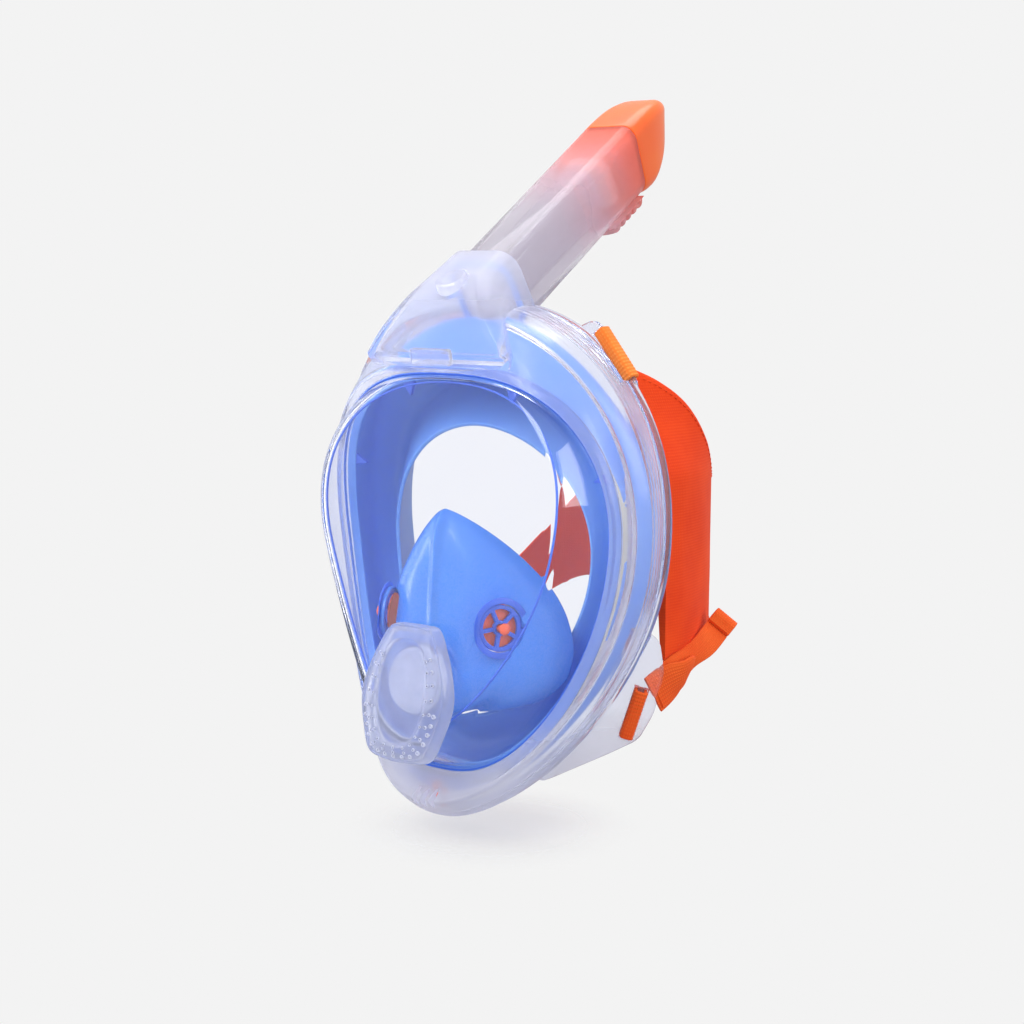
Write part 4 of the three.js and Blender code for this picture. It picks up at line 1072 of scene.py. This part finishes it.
def band_sheet(name, table, s0, s1, half, along=170, across=30, folds=None):
    """A cloth band between its lower and upper edges, closed all round, with its own lengths u and v."""
    line = centripetal(BAND_PATH)
    shares = np.linspace(s0, s1, along)
    p, t, total = even(line, shares)
    out = np.stack([t[:, 1], -t[:, 0]], -1)
    low, high = soft_table(table, shares)
    lip = [(0.0, 0.0), (0.004, 0.75), (0.014, 1.0)]  # share of the height and of the half thickness at a hem
    cross = lip + [(q, 1.0) for q in np.linspace(0, 1, across)[1:-1]] + [(1 - q, w) for q, w in reversed(lip)]
    up, thick = np.array(cross + [(q, -w) for q, w in reversed(cross[1:-1])]).T
    rows, us, vs = [], [], []
    for i in range(along):
        z = low[i] + (high[i] - low[i]) * up
        d = half * thick
        if folds:
            d = d + folds(shares[i], up)
        lean = lean_in(p[i, 0], z, shares[i])
        rows.append(np.stack([p[i, 0] + lean + out[i, 0] * d, p[i, 1] + out[i, 1] * d, z], -1))
        us.append(np.full(len(up), shares[i] * total))
        vs.append(z)
    u, w = np.concatenate(us), np.concatenate(vs)
    u, w = np.append(u, [us[0][0], us[-1][0]]), np.append(w, [vs[0].mean(), vs[-1].mean()])
    return lofted(name, rows, attributes={"u_mm": u, "v_mm": w}, sharp_deg=60)


def band_folds(s, q):
    """Shallow folds that run from the near end's pinch, and a slight cupping along the band."""
    near = math.exp(-((s - 0.1) / 0.07) ** 2)
    pull = np.sin(q * 9.0 + s * 22) * 0.5 + np.sin(q * 21.0 - s * 31) * 0.22
    return near * pull * np.exp(-((q - 0.15) / 0.45) ** 2) + 0.15 * np.sin(s * 40) * (q - 0.5)


def stitches(name, points, normals, pitch=2.6, length=1.9, r=0.2):
    """A row of short thread stitches along a line of points."""
    at = lengths(points)
    verts, faces, base = [], [], 0
    for s in np.arange(pitch, at[-1] - pitch, pitch):
        a, b, n = sample(s, at, points), sample(s + length, at, points), sample(s, at, normals)
        side = unit(np.cross(b - a, n))
        for f, grow in ((0, 0.35), (0.25, 1), (0.5, 1.1), (0.75, 1), (1, 0.35)):
            c = a + (b - a) * f + n * (0.22 * math.sin(math.pi * f) - 0.02)
            for k in range(6):
                q = k / 6 * TAU
                verts.append(c + side * r * grow * math.cos(q) + n * r * grow * math.sin(q))
        for i in range(4):
            for k in range(6):
                k1 = (k + 1) % 6
                faces.append((base + i * 6 + k, base + i * 6 + k1, base + (i + 1) * 6 + k1,
                              base + (i + 1) * 6 + k))
        faces += [tuple(base + k for k in reversed(range(6))), tuple(base + 24 + k for k in range(6))]
        base += 30
    u = np.zeros(len(verts))
    return mesh_object(name, verts, faces, attributes={"u_mm": u, "v_mm": u})


def band_line(table, shares, inset, lift=1.12):
    """Points and outward directions on the band's outer face. A positive inset is measured from the lower
    edge, a negative one from the upper."""
    p, t, _ = even(centripetal(BAND_PATH), shares)
    out = np.stack([t[:, 1], -t[:, 0], np.zeros(len(t))], -1)
    low, high = soft_table(table, shares)
    z = (low if inset > 0 else high) + inset
    return np.stack([p[:, 0] + lean_in(p[:, 0], z, shares), p[:, 1], z], -1) + out * lift, out


ARM_FROM = 0.36  # the share of the band's path where its upper arm starts


def build_band():
    main = band_sheet("headband_main", BAND_MAIN, 0.0, 1.0, 1.1, folds=band_folds)
    put(main, "mask", "band", "headband")
    upper = band_sheet("headband_upper_arm", BAND_UPPER, ARM_FROM, 1.0, 0.9, along=110, across=20)
    put(upper, "mask", "band")
    seams = []
    for table, start, inset in ((BAND_MAIN, 0.02, 3.0), (BAND_UPPER, 0.38, 2.6)):
        for way in (inset, -inset):
            seams.append(stitches("seam", *band_line(table, np.linspace(start, 0.98, 220), way)))
    thread = join("headband_stitches", seams)
    put(thread, "mask", "thread")


RIB_PITCH, RIB_DEPTH = 1.45, 0.16


def ribbed(name, path, across, normal_of, width, thick, closed_path=True, narrow=None, cup=None):
    """Elastic webbing: a strip that follows path, with ribs along its length. across is its width direction.
    narrow holds each station's share of the width, and cup how far its edges turn along the normal."""
    n_across = int(width / RIB_PITCH) * 6 + 1
    v = np.linspace(-width / 2, width / 2, n_across)
    rib = RIB_DEPTH * np.abs(np.sin(np.pi * (v + width / 2) / RIB_PITCH))
    taper = np.sqrt(np.clip((width / 2 - np.abs(v)) / 0.5, 0.0, 1.0))
    narrow = np.ones(len(path)) if narrow is None else narrow
    cup = np.zeros(len(path)) if cup is None else cup
    back = slice(None, None, -1) if closed_path else slice(-2, 0, -1)
    rows = []
    for p, side, n, share, bend in zip(path, across, normal_of, narrow, cup):
        middle = p + np.outer(v, side) * share + np.outer(bend * (v / (width / 2)) ** 2, n)
        half = np.outer(thick / 2 * taper + rib, n)
        rows.append(np.concatenate([middle + half, (middle - half)[back]]))
    u, w = np.repeat(lengths(path), len(rows[0])), np.tile(np.concatenate([v, v[back]]), len(rows))
    if not closed_path:
        u, w = np.append(u, [u[0], u[-1]]), np.append(w, [0, 0])
    return lofted(name, rows, ring=closed_path, attributes={"u_mm": u, "v_mm": w}, sharp_deg=50)


LOOP_THICK = 1.2


def web_loop(name, place, o0, o1, d0, d1, width, sx):
    """A closed loop of webbing round a bar or an edge; its mid-line is a rounded rectangle."""
    _, out, back, along = place
    h = LOOP_THICK / 2
    corners = [(o0 - h, d0 - h), (o1 + h, d0 - h), (o1 + h, d1 + h), (o0 - h, d1 + h)]
    flat = []
    soft = soft_line(corners, [1.3] * 4, 8)
    for i in range(len(soft)):
        a, b = soft[i], soft[(i + 1) % len(soft)]
        count = max(1, int(np.linalg.norm(b - a) / 0.8))
        flat += [a + (b - a) * k / count for k in range(count)]
    flat = np.array(flat)
    t = np.roll(flat, -1, 0) - np.roll(flat, 1, 0)
    t /= np.linalg.norm(t, axis=1, keepdims=True)
    path = [at_place(place, o, d, 0, sx) for o, d in flat]
    normals = [mirrored(out * q[1] - back * q[0], sx) for q in t]
    return ribbed(name, path, [mirrored(along, sx)] * len(path), normals, width, LOOP_THICK)


def frames_along(points, count, twist=((0, 0), (1, 0))):
    """Points, directions, width directions and normals along a ribbon; twist lists (share, degrees)."""
    p, t, total = even(centripetal(points), np.linspace(0, 1, count))
    side = np.array((0, 0, 1.0)) - t * t[:, 2:3]
    side /= np.linalg.norm(side, axis=1, keepdims=True)
    for i, share in enumerate(np.linspace(0, 1, count)):
        degrees = np.interp(share, [q for q, _ in twist], [d for _, d in twist])
        side[i] = np.array(Matrix.Rotation(math.radians(degrees), 3, Vector(t[i]))) @ side[i]
    return p, t, side, np.cross(t, side), total


def along_shares(count, stations):
    """A smooth value at each of count even stations, through (share, value) pairs."""
    share = np.linspace(0, 1, count)
    fine = np.array(spline_rows(stations, 40 * len(stations)))
    return np.interp(share, fine[:, 0], fine[:, 1])


HEM_R = 3.1  # radius of the folded hem at the left strap's tail
FOLD_WIDE = 15.5


def build_left_strip():
    """The loose lower strap: it is pinched in the middle, and its tail is folded back into a teardrop hem."""
    width, thick, count = 16.5, 1.1, 110
    route = [(66.2, 9.5, -52.5), (68.0, 15, -49.0), (69.8, 22, -44.0), (70.8, 29, -40.5), (71.3, 38, -37.0),
             (71.0, 47, -32.5)]
    p, t, side, normal, total = frames_along(route, count, ((0, 0), (0.45, -8), (0.8, -30), (1, -46)))
    share = along_shares(count, [(0, 1.0), (0.2, 0.95), (0.45, 0.66), (0.6, 0.56), (0.8, 0.62), (1, 0.6)])
    cup = along_shares(count, [(0, 0), (0.25, -0.8), (0.5, -1.6), (0.7, -0.6), (1, 0)])
    angles = np.radians(np.linspace(-128, 128, 40))
    middle = p[-1] + t[-1] * HEM_R * 1.5
    spokes = np.array([t[-1] * math.cos(q) + normal[-1] * math.sin(q) for q in angles])
    path = np.concatenate([p, middle + HEM_R * spokes, [p[-1] + normal[-1] * (thick + 0.35)]])
    normals = np.concatenate([normal, -spokes, [-normal[-1]]])

    def held(values):
        return np.concatenate([values, [values[-1]] * (len(path) - count)])
    strip = ribbed("lower_strip_left", path, held(side), normals, width, thick, False, held(share), held(cup))
    put(strip, "mask", "strap", "lower_webbing_left")
    # the strap's upper edge is folded over itself and ends in the pinch
    over_route = [(66.8, 10.5, -51.0), (69.6, 16, -48.0), (72.4, 22, -45.5), (72.6, 27, -42.6),
                  (71.4, 30, -40.6)]
    p, t, side, normal, over = frames_along(over_route, 60, ((0, 0), (0.6, 14), (1, 24)))
    share = along_shares(60, [(0, 1.0), (0.3, 0.92), (0.6, 0.68), (0.85, 0.4), (1, 0.1)])
    cup = along_shares(60, [(0, 0), (0.4, -1.0), (0.8, -1.4), (1, -0.4)])
    fold = ribbed("lower_strip_fold", p, side, normal, FOLD_WIDE, 1.0, False, share, cup)
    put(fold, "mask", "strap")


def build_webbing():
    for side, sx in (("left", 1), ("right", -1)):
        tab = web_loop(f"upper_tab_{side}", SLOT, 0.6, 3.4, 5.1, 8.3, 23, sx)
        put(tab, "mask", "web", f"upper_webbing_{side}")
        bar = web_loop(f"lower_tab_{side}", BAR, -1.35, 1.35, -4.6, 1.1, 20, sx)
        put(bar, "mask", "strap", f"lower_loop_{side}")
    build_left_strip()
    route = [(-65.8, 11, -58), (-66.5, 17, -57), (-69.4, 27, -57), (-69.4, 40, -54)]
    p, _, side, normal, total = frames_along(route, 90)
    strip = ribbed("lower_strip_right", p, side, normal, 19, 1.5, False)
    put(strip, "mask", "web", "lower_webbing_right")


# ---------------------------------------------------------------- camera, light, floor
def build_camera():
    """A long lens to the mask's left front; the distance and angles give the photograph's view."""
    azimuth, elevation, distance = math.radians(38), math.radians(8.7), 0.746
    flat = math.cos(elevation)
    back = Vector((math.sin(azimuth) * flat, -math.cos(azimuth) * flat, math.sin(elevation)))
    data = bpy.data.cameras.new("camera")
    data.sensor_width, data.lens = 36.0, 66.8
    data.shift_x, data.shift_y = 0.0117, 0.0322
    data.clip_start, data.clip_end = 0.05, 50
    bpy.context.scene.camera = aimed("camera", data, back * distance, -back)
    return back


def aimed(name, data, place, direction):
    obj = linked(name, data)
    obj.location = place
    obj.rotation_mode = "QUATERNION"
    obj.rotation_quaternion = direction.to_track_quat("-Z", "Y")
    return obj


def lamp(name, place, size, watts):
    """A rectangular softbox that looks at the mask."""
    data = bpy.data.lights.new(name, "AREA")
    data.shape, data.energy = "RECTANGLE", watts
    data.size, data.size_y = size
    aimed(name, data, place, -place)


def build_studio(back):
    up = Vector((0, 0, 1))
    right = up.cross(back).normalized()
    lamp("key_softbox", -right * 0.75 + up * 0.75 + back * 0.75, (0.55, 0.7), 7.0)
    lamp("edge_strip", -right * 0.9 + up * 0.2 - back * 0.28, (0.1, 0.9), 2.0)
    lamp("side_softbox", right * 1.0 + up * 0.35 + back * 0.45, (0.35, 0.9), 4.0)
    lamp("top_softbox", up * 1.1 - back * 0.35, (0.9, 0.6), 5.5)
    world = bpy.data.worlds.new("studio")
    world.use_nodes = True
    nt = world.node_tree
    nt.nodes.clear()
    path = node(nt, "ShaderNodeLightPath")
    where = node(nt, "ShaderNodeTexCoord").outputs["Generated"]
    height = node(nt, "ShaderNodeSeparateXYZ", {0: where}).outputs["Z"]
    dome = ramp(nt, remap(nt, height, 0, 1, -1, 1), [
        (0.0, (0.63, 0.63, 0.645)), (0.42, (0.71, 0.71, 0.73)), (0.62, (0.96, 0.96, 0.975)),
        (1.0, (1.15, 1.15, 1.15))])
    light = node(nt, "ShaderNodeBackground", {"Color": dome, "Strength": 0.74})
    plain = node(nt, "ShaderNodeBackground", {"Color": (*srgb(BACKDROP), 1), "Strength": 1.0})
    through = node(nt, "ShaderNodeBackground", {"Color": (1, 1, 1, 1), "Strength": 0.97})
    seen = mixed(nt, path.outputs["Is Transmission Ray"], light.outputs[0], through.outputs[0])
    seen = mixed(nt, path.outputs["Is Camera Ray"], seen, plain.outputs[0])
    node(nt, "ShaderNodeOutputWorld", {"Surface": seen})
    bpy.context.scene.world = world
    view = bpy.context.scene.view_settings
    view.view_transform, view.look, view.exposure, view.gamma = "Standard", "None", 0.0, 1.0
    cycles = bpy.context.scene.cycles
    cycles.max_bounces = cycles.transmission_bounces = cycles.transparent_max_bounces = 24


FLOOR_GAP = 9.0  # from the chin down to the floor
FLOOR_AT = 0.005, -0.013  # the disc's middle, in metres
FLOOR_FADE = 0.015, 0.062  # it is whole up to the first radius and gone at the second, in metres
BACKDROP = "f3f3f3"


def build_floor():
    """A pale disc that fades out into the studio's white; it takes the soft shadow under the chin."""
    n, rings = 96, np.array([0.001, 0.05, 0.1, 0.18, 0.3, 0.5, 0.9])
    a = np.arange(n) / n * TAU
    rows = np.stack([np.stack([r * np.sin(a), r * np.cos(a), 0 * a], -1) for r in rings])
    verts = np.concatenate([rows.reshape(-1, 3), [(0, 0, 0)]]) / MM
    faces = grid_faces(len(rings), n, False, True) + [(len(rings) * n, j, (j + 1) % n) for j in range(n)]
    floor = mesh_object("floor", verts, faces)
    floor.location = (*FLOOR_AT, cad_low.z - FLOOR_GAP * MM)
    mat, nt, out = fresh("pale_floor")
    far = node(nt, "ShaderNodeVectorMath", {0: object_point(nt)}, operation="LENGTH").outputs["Value"]
    clear = node(nt, "ShaderNodeMapRange", {"Value": far, "From Min": FLOOR_FADE[0],
                                            "From Max": FLOOR_FADE[1]},
                 interpolation_type="SMOOTHSTEP").outputs["Result"]
    body = node(nt, "ShaderNodeBsdfDiffuse", {"Color": (0.86, 0.86, 0.86, 1)})
    glow = node(nt, "ShaderNodeEmission", {"Color": (*srgb(BACKDROP), 1), "Strength": 0.85})
    pale = mixed(nt, 0.62, body.outputs[0], glow.outputs[0])
    gone = node(nt, "ShaderNodeBsdfTransparent").outputs[0]
    nt.links.new(mixed(nt, clear, pale, gone), out.inputs["Surface"])
    floor.data.materials.append(mat)


camera_back = build_camera()
build_studio(camera_back)
build_floor()
build_visor()
build_bezel()
build_rear_rim()
build_skirt()
build_pocket()
build_valves()
build_snorkel()
build_small_parts()
build_band()
build_webbing()
